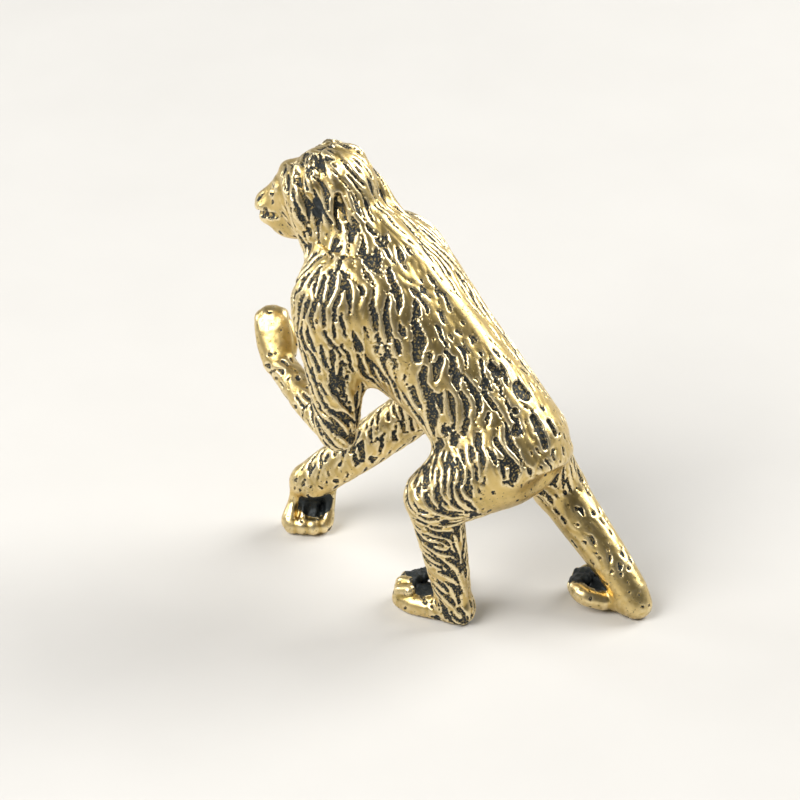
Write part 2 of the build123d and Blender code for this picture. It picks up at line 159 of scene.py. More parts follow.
@dataclass(frozen=True)
class Frame:
    """A place to model in: a middle and three axes, ahead, to the left and up."""

    middle: Place
    ahead: Place
    left: Place

    @property
    def axes(self) -> Array:
        """The unit axes, one a row: ahead, left and up.

        Returns:
            Three rows of three.
        """
        ahead = unit(np.array(self.ahead))
        left = unit(np.array(self.left) - ahead * float(np.dot(ahead, self.left)))
        return np.array([ahead, left, np.cross(ahead, left)])

    def spot(self, rows: Array) -> Array:
        """Rows of places in the frame as places in the figure, with further columns kept."""
        rows = np.atleast_2d(np.asarray(rows, float))
        return np.hstack([np.array(self.middle) + rows[:, :3] @ self.axes, rows[:, 3:]])

    def seen(self, places: Array) -> Array:
        """Places in the figure as places in the frame."""
        return (places - np.array(self.middle)) @ self.axes.T


@dataclass(frozen=True)
class Egg:
    """An egg in a frame: its middle, its half lengths ahead, left and up, and how softly it joins."""

    middle: Place
    radii: Place
    blend: float

    def on_side(self, side: int) -> "Egg":
        """The egg with left turned to right where side is -1."""
        ahead, left, up = self.middle
        return Egg((ahead, side * left, up), self.radii, self.blend)


@dataclass
class Lump:
    """A lump of clay with a block of the grid of its own, before it is pressed onto the figure."""

    axes: list[Array]
    window: Window
    values: Array = field(init=False)

    def __post_init__(self) -> None:
        """Start with nothing in the block."""
        self.values = np.full([axis.size for axis in self.axes], FAR, np.float32)

    def near(self, low: Array, high: Array) -> tuple[Window, list[Array]]:
        """The part of the block between two corners, and its open axes.

        Args:
            low: The lowest corner.
            high: The highest corner.

        Returns:
            A slice for each direction, and the three open axes cut to them.
        """
        spans = []
        for axis, start, end in zip(self.axes, low, high):
            first = int(np.searchsorted(axis, start))
            spans.append(slice(first, max(int(np.searchsorted(axis, end)), first)))
        opened = [self.axes[0][spans[0]][:, None, None], self.axes[1][spans[1]][None, :, None],
                  self.axes[2][spans[2]][None, None, :]]
        return tuple(spans), opened

    def press(self, spans: Window, distance: Array, blend: float) -> None:
        """Join distances to the lump with a soft joint."""
        self.values[spans] = soft_low(self.values[spans], distance, blend)

    def scoop(self, spans: Window, distance: Array, blend: float) -> None:
        """Take the inside of a shape away from the lump, with soft edges."""
        self.values[spans] = -soft_low(-self.values[spans], distance, blend)

    def mould(self, rows: Array, blend: float, steps: int = 5) -> None:
        """Press on a smooth rod through rows of place and radius."""
        self.press(*self.rod_distance(rows, steps, blend + ROUND_MARGIN), blend)

    def scrape(self, rows: Array, blend: float, steps: int = 4) -> None:
        """Scoop out a smooth channel through rows of place and radius."""
        self.scoop(*self.rod_distance(rows, steps, blend + SCOOP_MARGIN), blend)

    def press_egg(self, egg: Egg, place: Frame) -> None:
        """Press on an egg that is given in a frame."""
        self.press(*self.egg_distance(egg, place, egg.blend + ROUND_MARGIN), egg.blend)

    def scoop_egg(self, egg: Egg, place: Frame) -> None:
        """Scoop out an egg that is given in a frame."""
        self.scoop(*self.egg_distance(egg, place, egg.blend + ROUND_MARGIN), egg.blend)

    def rod_distance(self, rows: Array, steps: int, reach: float) -> tuple[Window, Array]:
        """The distance to a smooth rod whose thickness changes along it.

        For each straight stretch it is the distance to the nearest point of the line, less the
        radius there, and the rod takes the least over its stretches.

        Args:
            rows: Place and radius at each knot of the rod.
            steps: How many straight stretches lie between two knots of a curved rod.
            reach: How far from the rod the distance is wanted.

        Returns:
            The part of the block, and the distances in it.
        """
        rows = np.asarray(rows, float)
        rows = along_curve(rows, steps) if len(rows) > 2 else rows
        most = rows[:, 3].max() + reach
        spans, _ = self.near(rows[:, :3].min(0) - most, rows[:, :3].max(0) + most)
        block = np.full([span.stop - span.start for span in spans], FAR, np.float32)
        for start, end in zip(rows[:-1], rows[1:]):
            most = max(start[3], end[3]) + reach
            inner, (x, y, z) = self.near(np.minimum(start[:3], end[:3]) - most,
                                         np.maximum(start[:3], end[:3]) + most)
            way = (end[:3] - start[:3]).astype(np.float32)
            span = max(float(way @ way), TINY)
            x, y, z = x - start[0], y - start[1], z - start[2]
            share = np.clip((x * way[0] + y * way[1] + z * way[2]) / span, 0, 1)
            gap = np.sqrt((x - share * way[0]) ** 2 + (y - share * way[1]) ** 2
                          + (z - share * way[2]) ** 2) - (start[3] + share * (end[3] - start[3]))
            place = tuple(slice(a.start - b.start, a.stop - b.start) for a, b in zip(inner, spans))
            block[place] = np.minimum(block[place], gap)
        return spans, block

    def egg_distance(self, egg: Egg, place: Frame, reach: float) -> tuple[Window, Array]:
        """The distance to an egg: k (k - 1) over the length of its slope, where k is 1 on its skin.

        Args:
            egg: The egg.
            place: The frame that it is given in.
            reach: How far from the egg the distance is wanted.

        Returns:
            The part of the block, and the distances in it.
        """
        centre, axes, radii = place.spot([egg.middle])[0], place.axes, np.array(egg.radii)
        most = np.abs(axes * radii[:, None]).sum(0) + reach
        spans, (x, y, z) = self.near(centre - most, centre + most)
        x, y, z = x - centre[0], y - centre[1], z - centre[2]
        level, slope = 0, 0
        for axis, radius in zip(axes, radii):
            along = x * axis[0] + y * axis[1] + z * axis[2]
            level = level + (along / radius) ** 2
            slope = slope + (along / radius ** 2) ** 2
        level = np.sqrt(level)
        return spans, (level * (level - 1) / np.maximum(np.sqrt(slope), TINY)).astype(np.float32)


@dataclass
class Clay:
    """The whole block of clay: the skin's distance, and which section each spot belongs to.

    How far metal shuts a place in, which a coarse copy of the grid tells, darkens the finish there:
    painted shade, with the patina that gathers in such hollows.
    """

    low: Array
    high: Array
    step: float
    coarse: int = 4
    view: float = 1.9
    open_share: float = 0.46
    shut_share: float = 0.66
    axes: list[Array] = field(init=False)
    skin: Array = field(init=False)
    nearest: Array = field(init=False)
    owner: Array = field(init=False)

    def __post_init__(self) -> None:
        """Lay out the grid, empty."""
        self.axes = [np.arange(low, high + self.step, self.step, dtype=np.float32)
                     for low, high in zip(self.low, self.high)]
        shape = [axis.size for axis in self.axes]
        self.skin = np.full(shape, FAR, np.float32)
        self.nearest = np.full(shape, FAR, np.float32)
        self.owner = np.zeros(shape, np.uint8)

    def lump(self, low: Place, high: Place) -> Lump:
        """A new lump with the block between two corners.

        Args:
            low: The lowest corner.
            high: The highest corner.

        Returns:
            The lump, with nothing in it.
        """
        spans = tuple(slice(int(np.searchsorted(axis, a)), int(np.searchsorted(axis, b)))
                      for axis, a, b in zip(self.axes, low, high))
        return Lump([axis[span] for axis, span in zip(self.axes, spans)], spans)

    def join(self, lump: Lump, section: Section, blend: float) -> None:
        """Press a lump onto the figure and note where it is the nearest section.

        Args:
            lump: The lump.
            section: The section that it belongs to.
            blend: How wide the joint's rounding is, in millimetres.
        """
        spans = lump.window
        closer = lump.values < self.nearest[spans]
        self.owner[spans][closer] = section
        self.nearest[spans] = np.minimum(self.nearest[spans], lump.values)
        self.skin[spans] = soft_low(self.skin[spans], lump.values, blend)

    def flatten_below(self, blend: float) -> None:
        """Cut away what lies below the ground, with a soft edge."""
        height = np.broadcast_to(self.axes[2][None, None, :], self.skin.shape)
        self.skin = -soft_low(-self.skin, height, blend)

    def shut_in(self, places: Array) -> Array:
        """How far metal shuts each place in: the share of metal within the view. The finish darkens by it,
        as painted shade.

        The share is the mean of the solid grid, taken three times over along each axis.

        Args:
            places: Places just off the skin.

        Returns:
            Values from 0 in the open to 1 in a deep hollow.
        """
        cell = self.step * self.coarse
        thinned = self.skin[::self.coarse, ::self.coarse, ::self.coarse]
        solid = np.clip(0.5 - thinned / cell, 0, 1).astype(float)
        width = max(int(round(self.view / cell)) // 2, 1)
        for _ in range(3):
            for axis in range(3):
                solid = sum(np.roll(solid, k, axis) for k in range(-width, width + 1)) / (2 * width + 1)
        spot = (places - self.low) / cell
        base = np.clip(np.floor(spot).astype(np.int64), 0, np.array(solid.shape) - 2)
        share = np.clip(spot - base, 0, 1)
        total = np.zeros(len(places))
        for corner in np.ndindex(2, 2, 2):
            at = base + corner
            weight = np.prod(np.where(np.array(corner) == 1, share, 1 - share), axis=1)
            total += weight * solid[at[:, 0], at[:, 1], at[:, 2]]
        return eased(self.open_share, self.shut_share, total)

    def owner_at(self, places: Array) -> Array:
        """The section at each place, the trunk where none is near.

        Args:
            places: Places in the figure.

        Returns:
            The number of a section for each place.
        """
        spot = np.rint((places - self.low) / self.step).astype(int)
        spot = np.clip(spot, 0, np.array(self.owner.shape) - 1)
        owner = self.owner[tuple(spot.T)]
        return np.where(owner == 0, int(Section.TORSO), owner)


def draw_skin(values: Array, low: Array, step: float) -> tuple[Array, Array]:
    """A closed mesh of four-sided faces where a grid of distances passes through zero.

    Each cell of the grid that the skin passes through gets one vertex, the mean of the points where
    the skin cuts the cell's edges. Each edge of the grid that the skin cuts gets one face, whose
    corners are the vertices of the four cells around that edge.

    Args:
        values: The distances.
        low: The grid's lowest corner.
        step: The grid's spacing.

    Returns:
        The vertices, and four vertex numbers a face, turned outwards.
    """
    inside = values < 0
    corners = list(np.ndindex(2, 2, 2))
    ends = (slice(None, -1), slice(1, None))
    count = sum(inside[ends[i], ends[j], ends[k]].astype(np.uint8) for i, j, k in corners)
    active = (count > 0) & (count < len(corners))
    cells = np.argwhere(active)
    number = np.full(active.shape, -1, np.int32)
    number[active] = np.arange(len(cells), dtype=np.int32)
    at = {corner: values[tuple((cells + corner).T)] for corner in corners}
    total, hits = np.zeros((len(cells), 3)), np.zeros(len(cells))
    for axis in range(3):
        for corner in corners:
            if corner[axis]:
                continue
            other = tuple(c + (k == axis) for k, c in enumerate(corner))
            one, two = at[corner], at[other]
            cut = (one < 0) != (two < 0)
            point = np.tile(np.array(corner, float), (len(cells), 1))
            point[:, axis] = one / np.where(cut, one - two, 1)
            total += point * cut[:, None]
            hits += cut
    places = low + step * (cells + total / hits[:, None])
    faces = []
    for axis in range(3):
        first, second = (axis + 1) % 3, (axis + 2) % 3
        lower, upper = [slice(None)] * 3, [slice(None)] * 3
        lower[axis], upper[axis] = ends
        starts = inside[tuple(lower)]
        edges = np.argwhere(starts != inside[tuple(upper)])
        ring = []
        for a, b in ((-1, -1), (0, -1), (0, 0), (-1, 0)):
            cell = edges.copy()
            cell[:, first] += a
            cell[:, second] += b
            ring.append(number[tuple(cell.T)])
        quad = np.stack(ring, axis=1)
        outward = starts[tuple(edges.T)]
        faces.append(np.where(outward[:, None], quad, quad[:, ::-1]))
    return places, np.vstack(faces)


def vertex_normals(places: Array, faces: Array) -> Array:
    """Unit normals of a mesh of four-sided faces, each vertex taking the sum of its faces' normals.

    Args:
        places: The vertices.
        faces: Four vertex numbers a face.

    Returns:
        One unit normal a vertex.
    """
    corner = places[faces]
    normal = np.cross(corner[:, 2] - corner[:, 0], corner[:, 3] - corner[:, 1])
    total = np.zeros_like(places)
    for axis in range(3):
        for k in range(4):
            total[:, axis] += np.bincount(faces[:, k], normal[:, axis], len(places))
    return unit(total)


def neighbour_mean(faces: Array, values: Array, rounds: int) -> Array:
    """Values at vertices, each replaced by the mean over the vertices it shares an edge with.

    Args:
        faces: The mesh's four-sided faces.
        values: One row of values a vertex.
        rounds: How many times over this is done.

    Returns:
        The evened values.
    """
    edges = np.vstack([faces[:, [k, (k + 1) % 4]] for k in range(4)])
    count = np.bincount(edges[:, 0], minlength=len(values)).astype(float)
    values = values.astype(float)
    for _ in range(rounds):
        values = np.stack([np.bincount(edges[:, 0], values[edges[:, 1], k], len(values)) / count
                           for k in range(values.shape[1])], axis=1)
    return values


@dataclass
class Torso:
    """The trunk: egg-shaped sections from the rump to the neck, with a ridge along the spine.

    Each row of sections gives the share of the length, then the half width, the height of the back
    and the depth of the belly there. The ridge is given along the spine. The rump's lip, and the
    hollows under it, are given in the figure's own axes.
    """

    hips: Place = (0.0, 8.05, 17.6)
    length: float = 26.3
    pitch: float = 44.4
    rump: float = 5.0
    sections: Rows = (
        (0.00, 6.32, 5.90, 5.10), (0.15, 6.52, 5.98, 4.62), (0.30, 6.66, 6.02, 4.70),
        (0.45, 6.84, 5.92, 6.40), (0.60, 7.40, 5.88, 8.55), (0.75, 7.85, 5.72, 8.75),
        (0.88, 6.95, 5.07, 7.04), (1.00, 4.95, 4.40, 5.30), (1.08, 4.00, 3.89, 4.22))
    ridge: Rows = ((2.0, 0.0, 4.3, 1.0), (7.0, 0.0, 4.9, 0.95), (13.0, 0.0, 5.05, 0.95),
                   (20.0, 0.0, 4.7, 1.05), (25.0, 0.0, 3.8, 1.1))
    lip: Rows = ((5.5, 8.6, 19.9, 0.9), (5.2, 10.0, 19.4, 0.9), (3.8, 11.4, 18.7, 0.9),
                 (2.6, 12.4, 18.3, 0.9), (1.4, 12.9, 18.3, 0.9), (-1.0, 12.9, 17.8, 0.85),
                 (-3.2, 12.2, 17.4, 0.85))
    under_lip: Rows = ((5.9, 10.9, 17.0, 1.3), (5.0, 12.0, 16.3, 1.5), (3.0, 13.2, 16.1, 1.6),
                       (0.8, 13.7, 15.9, 1.6))
    right_groin: Rows = ((-1.2, 14.4, 15.2, 1.4), (-3.4, 13.2, 13.9, 1.7), (-4.4, 11.6, 12.8, 1.4))
    ridge_blend: float = 1.3
    lip_blend: float = 0.9
    under_blend: float = 0.7
    groin_blend: float = 0.8
    joint: float = 0.1
    curve_steps: int = 8
    low: Place = (-10.0, -18.0, 6.0)
    high: Place = (10.0, 18.0, 46.0)

    @property
    def frame(self) -> Frame:
        """Ahead along the spine from the hips, left, and up through the back."""
        angle = np.radians(self.pitch)
        return Frame(self.hips, (0.0, -np.cos(angle), np.sin(angle)), (1.0, 0.0, 0.0))

    def body(self, x: Array, y: Array, z: Array) -> Array:
        """The distance to the trunk: k (k - 1) over the slope of k, which is 1 on the skin.

        Args:
            x: The left of each place.
            y: How far each place is behind the figure's middle.
            z: Its height.

        Returns:
            The distances.
        """
        ahead, _, upward = self.frame.axes
        y, z = y - self.hips[1], z - self.hips[2]
        along = (y * ahead[1] + z * ahead[2]).astype(np.float32)
        depth = (y * upward[1] + z * upward[2]).astype(np.float32)
        fine = along_curve(np.array(self.sections), self.curve_steps)
        share = np.clip(along / self.length, 0, fine[-1, 0])
        wide, back, belly = (np.interp(share, fine[:, 0], fine[:, k]).astype(np.float32) for k in (1, 2, 3))
        deep = np.where(depth > 0, back, belly)
        past = (along - share * self.length) / self.rump
        level = np.sqrt((x / wide) ** 2 + (depth / deep) ** 2 + past ** 2)
        slope = np.sqrt((x / wide ** 2) ** 2 + (depth / deep ** 2) ** 2 + (past / self.rump) ** 2)
        return level * (level - 1) / np.maximum(slope, TINY)

    def model(self, clay: Clay) -> None:
        """Press the trunk, its ridge and the rump's lip, and scoop the hollows under the rump.

        Args:
            clay: The block of clay that it is pressed onto.
        """
        lump = clay.lump(self.low, self.high)
        spans, (x, y, z) = lump.near(self.low, self.high)
        lump.press(spans, self.body(x, y, z), self.joint)
        lump.mould(self.frame.spot(self.ridge), self.ridge_blend)
        lump.mould(self.lip, self.lip_blend)
        lump.scrape(self.under_lip, self.under_blend)
        lump.scrape(self.right_groin, self.groin_blend)
        clay.join(lump, Section.TORSO, self.joint)


@dataclass
class Head:
    """The head: a cap of hair with a thick rim round a bare face, and locks that hang at the sides.

    Places are given ahead, to the left and up from the middle of the skull. What is given for one
    side is made on both.
    """

    frame: Frame = Frame((0.0, -13.25, 39.0), (0.1371, -0.9752, -0.1736), (0.9903, 0.1392, 0.0))
    skull: Egg = Egg((-0.6, 0.0, 0.35), (4.6, 4.4, 4.75), 0.1)
    rim: Rows = ((3.55, 0.0, 2.5, 1.0), (2.65, 1.7, 2.3, 1.0), (1.75, 3.1, 1.5, 1.0), (1.15, 3.6, 0.2, 0.95),
                 (1.0, 3.3, -1.6, 0.9), (1.2, 2.4, -3.3, 0.9), (1.2, 1.2, -4.4, 0.9))
    locks: tuple[Rows, ...] = (
        ((1.2, 2.2, 3.9, 0.5), (0.9, 3.6, 2.2, 0.75), (0.9, 4.1, 0.4, 0.75), (0.9, 3.95, -1.2, 0.4)),
        ((-0.2, 1.6, 4.7, 0.6), (-0.6, 3.1, 3.5, 0.8), (-0.7, 3.75, 2.3, 0.7)),
        ((-1.2, 0.8, 4.7, 0.6), (-2.3, 2.2, 3.6, 0.9), (-2.7, 2.9, 2.2, 0.75)),
        ((-2.2, 3.4, 1.6, 0.5), (-2.1, 3.75, 0.2, 0.75), (-2.0, 3.8, -1.5, 0.5)),
        ((-3.3, 1.9, 2.9, 0.6), (-4.0, 2.6, 0.8, 0.7), (-4.6, 2.9, -0.8, 0.7), (-5.3, 3.0, -2.3, 0.45)))
    hollows: tuple[Rows, ...] = (
        ((-0.6, 4.3, 2.0, 0.35), (-0.9, 4.75, 0.4, 0.85), (-0.8, 4.6, -1.4, 0.8), (-0.7, 4.1, -2.8, 0.4)),
        ((-3.2, 3.3, 1.6, 0.3), (-3.3, 3.65, 0.0, 0.65), (-3.4, 3.8, -1.8, 0.5)))
    cheeks: Egg = Egg((2.6, 0.0, 0.2), (2.7, 3.0, 3.4), 0.1)
    forehead: Egg = Egg((3.1, 0.0, 0.4), (2.4, 2.5, 2.2), 0.8)
    muzzle: Egg = Egg((5.2, 0.0, -1.15), (2.55, 2.1, 1.85), 1.2)
    jaw: Egg = Egg((4.0, 0.0, -2.7), (2.7, 1.95, 1.8), 0.9)
    bridge: Rows = ((4.2, 0.0, 1.95, 0.6), (5.95, 0.0, 0.45, 0.6), (7.15, 0.0, -0.5, 0.68))
    upper_lip: Egg = Egg((6.4, 0.0, -0.85), (1.5, 1.8, 0.6), 0.45)
    lower_lip: Egg = Egg((6.1, 0.0, -2.2), (1.6, 1.7, 0.75), 0.4)
    nose_wing: Egg = Egg((6.9, 0.5, -0.5), (0.55, 0.5, 0.42), 0.3)
    brow: Rows = ((4.75, 0.3, 1.75, 0.4), (4.6, 1.2, 1.8, 0.4), (4.0, 2.1, 1.6, 0.35))
    socket: Egg = Egg((5.1, 1.65, 1.1), (0.7, 0.6, 0.48), 0.15)
    eye: Egg = Egg((4.5, 1.5, 1.08), (0.32, 0.32, 0.26), 0.08)
    nostril: Egg = Egg((7.05, 0.72, -0.4), (0.36, 0.3, 0.22), 0.1)
    mouth: Rows = ((8.0, 0.0, -1.35, 0.32), (7.35, 1.05, -1.4, 0.34), (6.2, 1.85, -1.4, 0.36),
                   (4.7, 2.3, -1.25, 0.32))
    rim_blend: float = 0.7
    lock_blend: float = 0.35
    hollow_blend: float = 0.3
    bridge_blend: float = 0.6
    brow_blend: float = 0.4
    mouth_blend: float = 0.12
    face_blend: float = 0.3
    neck_blend: float = 1.3
    low: Place = (-8.0, -24.0, 30.0)
    high: Place = (8.0, -4.0, 46.0)

    def model(self, clay: Clay) -> None:
        """Press the cap of hair together, then the bare face onto it.

        Args:
            clay: The block of clay that it is pressed onto.
        """
        spot = self.frame.spot
        lump = clay.lump(self.low, self.high)
        lump.press_egg(self.skull, self.frame)
        for side in (-1, 1):
            lump.mould(spot(mirrored(self.rim, side)), self.rim_blend)
            for lock in self.locks:
                lump.mould(spot(mirrored(lock, side)), self.lock_blend)
            for hollow in self.hollows:
                lump.scrape(spot(mirrored(hollow, side)), self.hollow_blend)
        whole = (slice(None),) * 3
        lump.press(whole, self.face(clay).values, self.face_blend)
        clay.join(lump, Section.HEAD, self.neck_blend)

    def face(self, clay: Clay) -> Lump:
        """The bare face: cheeks, muzzle, nose, lips, brow, eyes and jaw.

        Args:
            clay: The block of clay, whose grid it uses.

        Returns:
            The face as a lump of its own.
        """
        spot = self.frame.spot
        lump = clay.lump(self.low, self.high)
        for egg in (self.cheeks, self.forehead, self.muzzle, self.jaw):
            lump.press_egg(egg, self.frame)
        lump.mould(spot(self.bridge), self.bridge_blend)
        for egg in (self.upper_lip, self.lower_lip):
            lump.press_egg(egg, self.frame)
        for side in (-1, 1):
            lump.press_egg(self.nose_wing.on_side(side), self.frame)
            lump.mould(spot(mirrored(self.brow, side)), self.brow_blend)
            lump.scoop_egg(self.socket.on_side(side), self.frame)
            lump.press_egg(self.eye.on_side(side), self.frame)
            lump.scoop_egg(self.nostril.on_side(side), self.frame)
            lump.scrape(spot(mirrored(self.mouth, side)), self.mouth_blend)
        return lump


@dataclass
class Hand:
    """A hand as smooth rods in a frame at the wrist, and the channels scooped out between them."""

    wrist: Frame
    palm: tuple[Rows, ...]
    digits: tuple[Rows, ...]
    channels: tuple[Rows, ...] = ()
    palm_blend: float = 0.7
    digit_blend: float = 0.25
    channel_blend: float = 0.35

    def model(self, lump: Lump) -> None:
        """Press the palm's rods softly, the digits more sharply, and scoop the channels.

        Args:
            lump: The lump of the arm that it ends.
        """
        for rows in self.palm:
            lump.mould(self.wrist.spot(rows), self.palm_blend)
        for rows in self.digits:
            lump.mould(self.wrist.spot(rows), self.digit_blend)
        for rows in self.channels:
            lump.scrape(self.wrist.spot(rows), self.channel_blend)


@dataclass
class Arm:
    """An arm: a thick upper arm, a forearm and a hand."""

    section: Section
    low: Place
    high: Place
    upper: Rows
    fore: Rows
    hand: Hand
    upper_blend: float = 0.2
    elbow_blend: float = 0.7
    shoulder_blend: float = 2.2

    def model(self, clay: Clay) -> None:
        """Press the upper arm, the forearm and the hand, and join them to the figure.

        Args:
            clay: The block of clay that it is pressed onto.
        """
        lump = clay.lump(self.low, self.high)
        lump.mould(self.upper, self.upper_blend)
        lump.mould(self.fore, self.elbow_blend)
        self.hand.model(lump)
        clay.join(lump, self.section, self.shoulder_blend)


@dataclass
class Leg:
    """A leg: a thigh, a shin and a foot whose toes curl round a hollow.

    The thigh and the shin are given in the figure's axes. The foot is given ahead, outwards and up
    from the point below the heel. Each toe is given by how far out it lies, how far ahead its
    knuckle lies and how high it rises.
    """

    section: Section
    low: Place
    high: Place
    thigh: Rows
    shin: Rows
    foot: Frame
    side: int
    outer_sole: Rows = ((-0.9, 0.1, 1.3, 1.4), (1.6, 0.75, 1.0, 1.15), (3.8, 1.35, 0.9, 1.1),
                        (5.3, 1.3, 0.95, 1.05))
    inner_sole: Rows = ((-0.4, -0.3, 1.5, 1.4), (1.7, -0.9, 1.3, 1.0), (3.4, -1.3, 1.0, 0.9),
                        (4.9, -1.1, 0.9, 0.9))
    instep: Rows = ((0.3, -0.2, 1.8, 1.3), (2.3, -0.4, 1.5, 1.2))
    middle_sole: Rows = ((1.5, 0.0, 0.9, 1.1), (3.3, 0.1, 1.0, 1.15), (4.8, 0.1, 1.1, 1.1))
    toes: Rows = ((1.45, 5.3, 1.75), (0.5, 5.85, 2.0), (-0.45, 5.95, 2.1), (-1.35, 5.6, 2.0))
    big_toe: Rows = ((2.0, -1.8, 1.4, 0.95), (3.4, -2.9, 1.9, 0.95), (4.6, -2.8, 2.35, 0.85),
                     (5.2, -2.0, 2.2, 0.7))
    hollow: Rows = ((2.0, -0.2, 3.4, 0.6), (3.0, -0.2, 2.95, 0.7), (3.9, 0.0, 3.1, 0.5))
    thigh_blend: float = 0.2
    knee_blend: float = 0.8
    sole_blend: float = 0.7
    middle_blend: float = 0.6
    toe_blend: float = 0.18
    big_toe_blend: float = 0.3
    hollow_blend: float = 0.4
    hip_blend: float = 1.6

    def toe(self, out: float, ahead: float, lift: float) -> Rows:
        """A toe: along the ground, up at the knuckle and back over itself."""
        return ((ahead - 1.2, out, 0.7, 0.72), (ahead, out, 1.0, 0.78), (ahead + 0.1, out, lift, 0.74),
                (ahead - 0.9, out, lift + 0.45, 0.66))

    def model(self, clay: Clay) -> None:
        """Press the thigh and the shin, then the foot and its toes, and scoop the foot's hollow.

        Args:
            clay: The block of clay that it is pressed onto.
        """
        lump = clay.lump(self.low, self.high)
        lump.mould(self.thigh, self.thigh_blend)
        lump.mould(self.shin, self.knee_blend)
        parts = [(self.outer_sole, self.sole_blend), (self.inner_sole, self.sole_blend),
                 (self.instep, self.middle_blend), (self.middle_sole, self.middle_blend)]
        parts += [(self.toe(*toe), self.toe_blend) for toe in self.toes]
        parts += [(self.big_toe, self.big_toe_blend)]
        for rows, blend in parts:
            lump.mould(self.foot.spot(mirrored(rows, self.side)), blend)
        lump.scrape(self.foot.spot(mirrored(self.hollow, self.side)), self.hollow_blend)
        clay.join(lump, self.section, self.hip_blend)


def left_arm() -> Arm:
    """The raised arm, its hand closed before the chest.

    Returns:
        The arm, with its sizes.
    """
    palm = tuple(((0.0, 0.4 * out, 0.0, 1.15), (1.4, out, 0.1, 1.1), (2.8, out, 0.0, 1.05))
                 for out in (-0.7, 0.0, 0.7))
    fingers = tuple(((1.8, out, 0.1, 0.8), (3.6 + longer, out, 0.1, 0.8), (4.3 + longer, out, -0.5, 0.74),
                     (3.9 + longer, out, -1.25, 0.62))
                    for out, longer in ((-0.95, 0.0), (-0.3, 0.35), (0.35, 0.4), (0.95, 0.1)))
    thumb = ((0.4, -1.1, -0.3, 0.72), (1.9, -1.55, -0.8, 0.7), (3.2, -1.2, -1.3, 0.6))
    wrist = Frame((3.3, -17.0, 21.3), (-0.283, -0.403, 0.87), (0.42, -0.9, -0.1))
    return Arm(
        Section.LEFT_ARM, (-3.0, -24.0, 14.0), (13.0, -1.0, 38.0),
        upper=((3.0, -8.8, 31.5, 3.3), (5.9, -8.8, 31.5, 3.85), (7.05, -7.7, 25.8, 2.95),
               (7.9, -6.75, 21.4, 2.35), (8.35, -6.3, 18.95, 1.7)),
        fore=((8.3, -6.4, 18.85, 1.65), (6.2, -11.3, 19.8, 1.65), (3.5, -16.8, 21.2, 1.4)),
        hand=Hand(wrist, palm, (*fingers, thumb)))


def right_arm() -> Arm:
    """The arm that the figure leans on, its fingers curled on the ground under a hollow palm.

    Returns:
        The arm, with its sizes.
    """
    palm = (
        ((0.0, 0.1, 5.1, 1.95), (-0.1, -0.55, 5.05, 1.5)),
        ((-0.5, -0.9, 4.3, 0.9), (-0.5, -1.3, 2.6, 0.75), (0.1, -1.6, 1.0, 0.9)),
        ((-0.6, -0.3, 4.0, 0.9), (-0.7, -0.4, 2.5, 0.7), (0.0, -0.5, 0.9, 0.85)),
        ((-0.6, 0.8, 4.0, 0.9), (-0.7, 0.8, 2.5, 0.7), (0.0, 0.6, 0.9, 0.85)),
        ((-0.3, 1.8, 4.2, 0.8), (-0.2, 1.9, 2.5, 0.65), (0.3, 1.5, 1.0, 0.8)))
    fingers = (
        ((0.1, -1.15, 4.2, 0.85), (0.4, -1.55, 2.9, 0.7), (1.2, -1.95, 1.4, 0.95), (1.5, -1.75, 0.95, 0.98)),
        ((0.2, -0.55, 3.9, 0.75), (0.75, -0.65, 2.6, 0.6), (1.4, -0.75, 1.2, 0.9), (1.75, -0.75, 1.0, 0.98)),
        ((0.2, 0.5, 3.9, 0.75), (0.75, 0.5, 2.6, 0.6), (1.5, 0.35, 1.2, 0.9), (1.85, 0.3, 0.95, 0.95)),
        ((0.3, 1.9, 4.2, 0.8), (0.7, 1.95, 2.9, 0.55), (1.3, 1.7, 1.5, 0.75), (1.65, 1.35, 1.0, 0.88)))
    channels = (
        ((2.3, 0.3, 3.7, 0.5), (1.55, 0.3, 2.9, 0.72), (1.75, 0.2, 2.2, 0.45)),
        ((1.6, -0.1, 3.4, 0.3), (1.25, -0.1, 2.6, 0.34), (1.5, -0.2, 1.9, 0.28)),
        ((1.5, 1.1, 3.6, 0.35), (1.1, 1.1, 2.7, 0.42), (1.4, 1.0, 2.0, 0.3)),
        ((1.4, -1.15, 3.4, 0.3), (1.1, -1.2, 2.6, 0.34), (1.5, -1.3, 1.9, 0.26)))
    wrist = Frame((-1.2, -16.6, 0.0), (0.83, 0.56, 0.0), (-0.559, 0.829, 0.0))
    return Arm(
        Section.RIGHT_ARM, (-13.0, -24.0, -2.0), (4.0, -1.0, 38.0),
        upper=((-3.0, -8.3, 31.5, 3.3), (-5.9, -8.3, 31.5, 3.85), (-6.0, -7.3, 24.4, 3.0),
               (-5.9, -6.5, 18.5, 2.6), (-5.85, -6.2, 15.2, 2.45)),
        fore=((-5.85, -6.1, 15.1, 2.45), (-4.0, -10.3, 11.0, 2.35), (-2.1, -14.5, 7.1, 2.15),
              (-1.3, -16.4, 5.3, 1.95)),
        hand=Hand(wrist, palm, fingers, channels))


def left_leg() -> Leg:
    """The leg that stands under the body.

    Returns:
        The leg, with its sizes.
    """
    return Leg(
        Section.LEFT_LEG, (-3.0, -7.0, -2.0), (13.0, 16.0, 26.0),
        thigh=((3.3, 8.05, 17.6, 4.2), (5.5, 6.0, 16.1, 3.85), (7.4, 4.2, 14.9, 2.75)),
        shin=((7.4, 4.2, 14.7, 2.75), (6.7, 4.5, 10.6, 2.4), (5.8, 4.9, 5.6, 2.0), (5.3, 5.15, 2.4, 1.75)),
        foot=Frame((5.3, 5.15, 0.0), heading(-4), (0.9976, 0.0698, 0.0)), side=1)


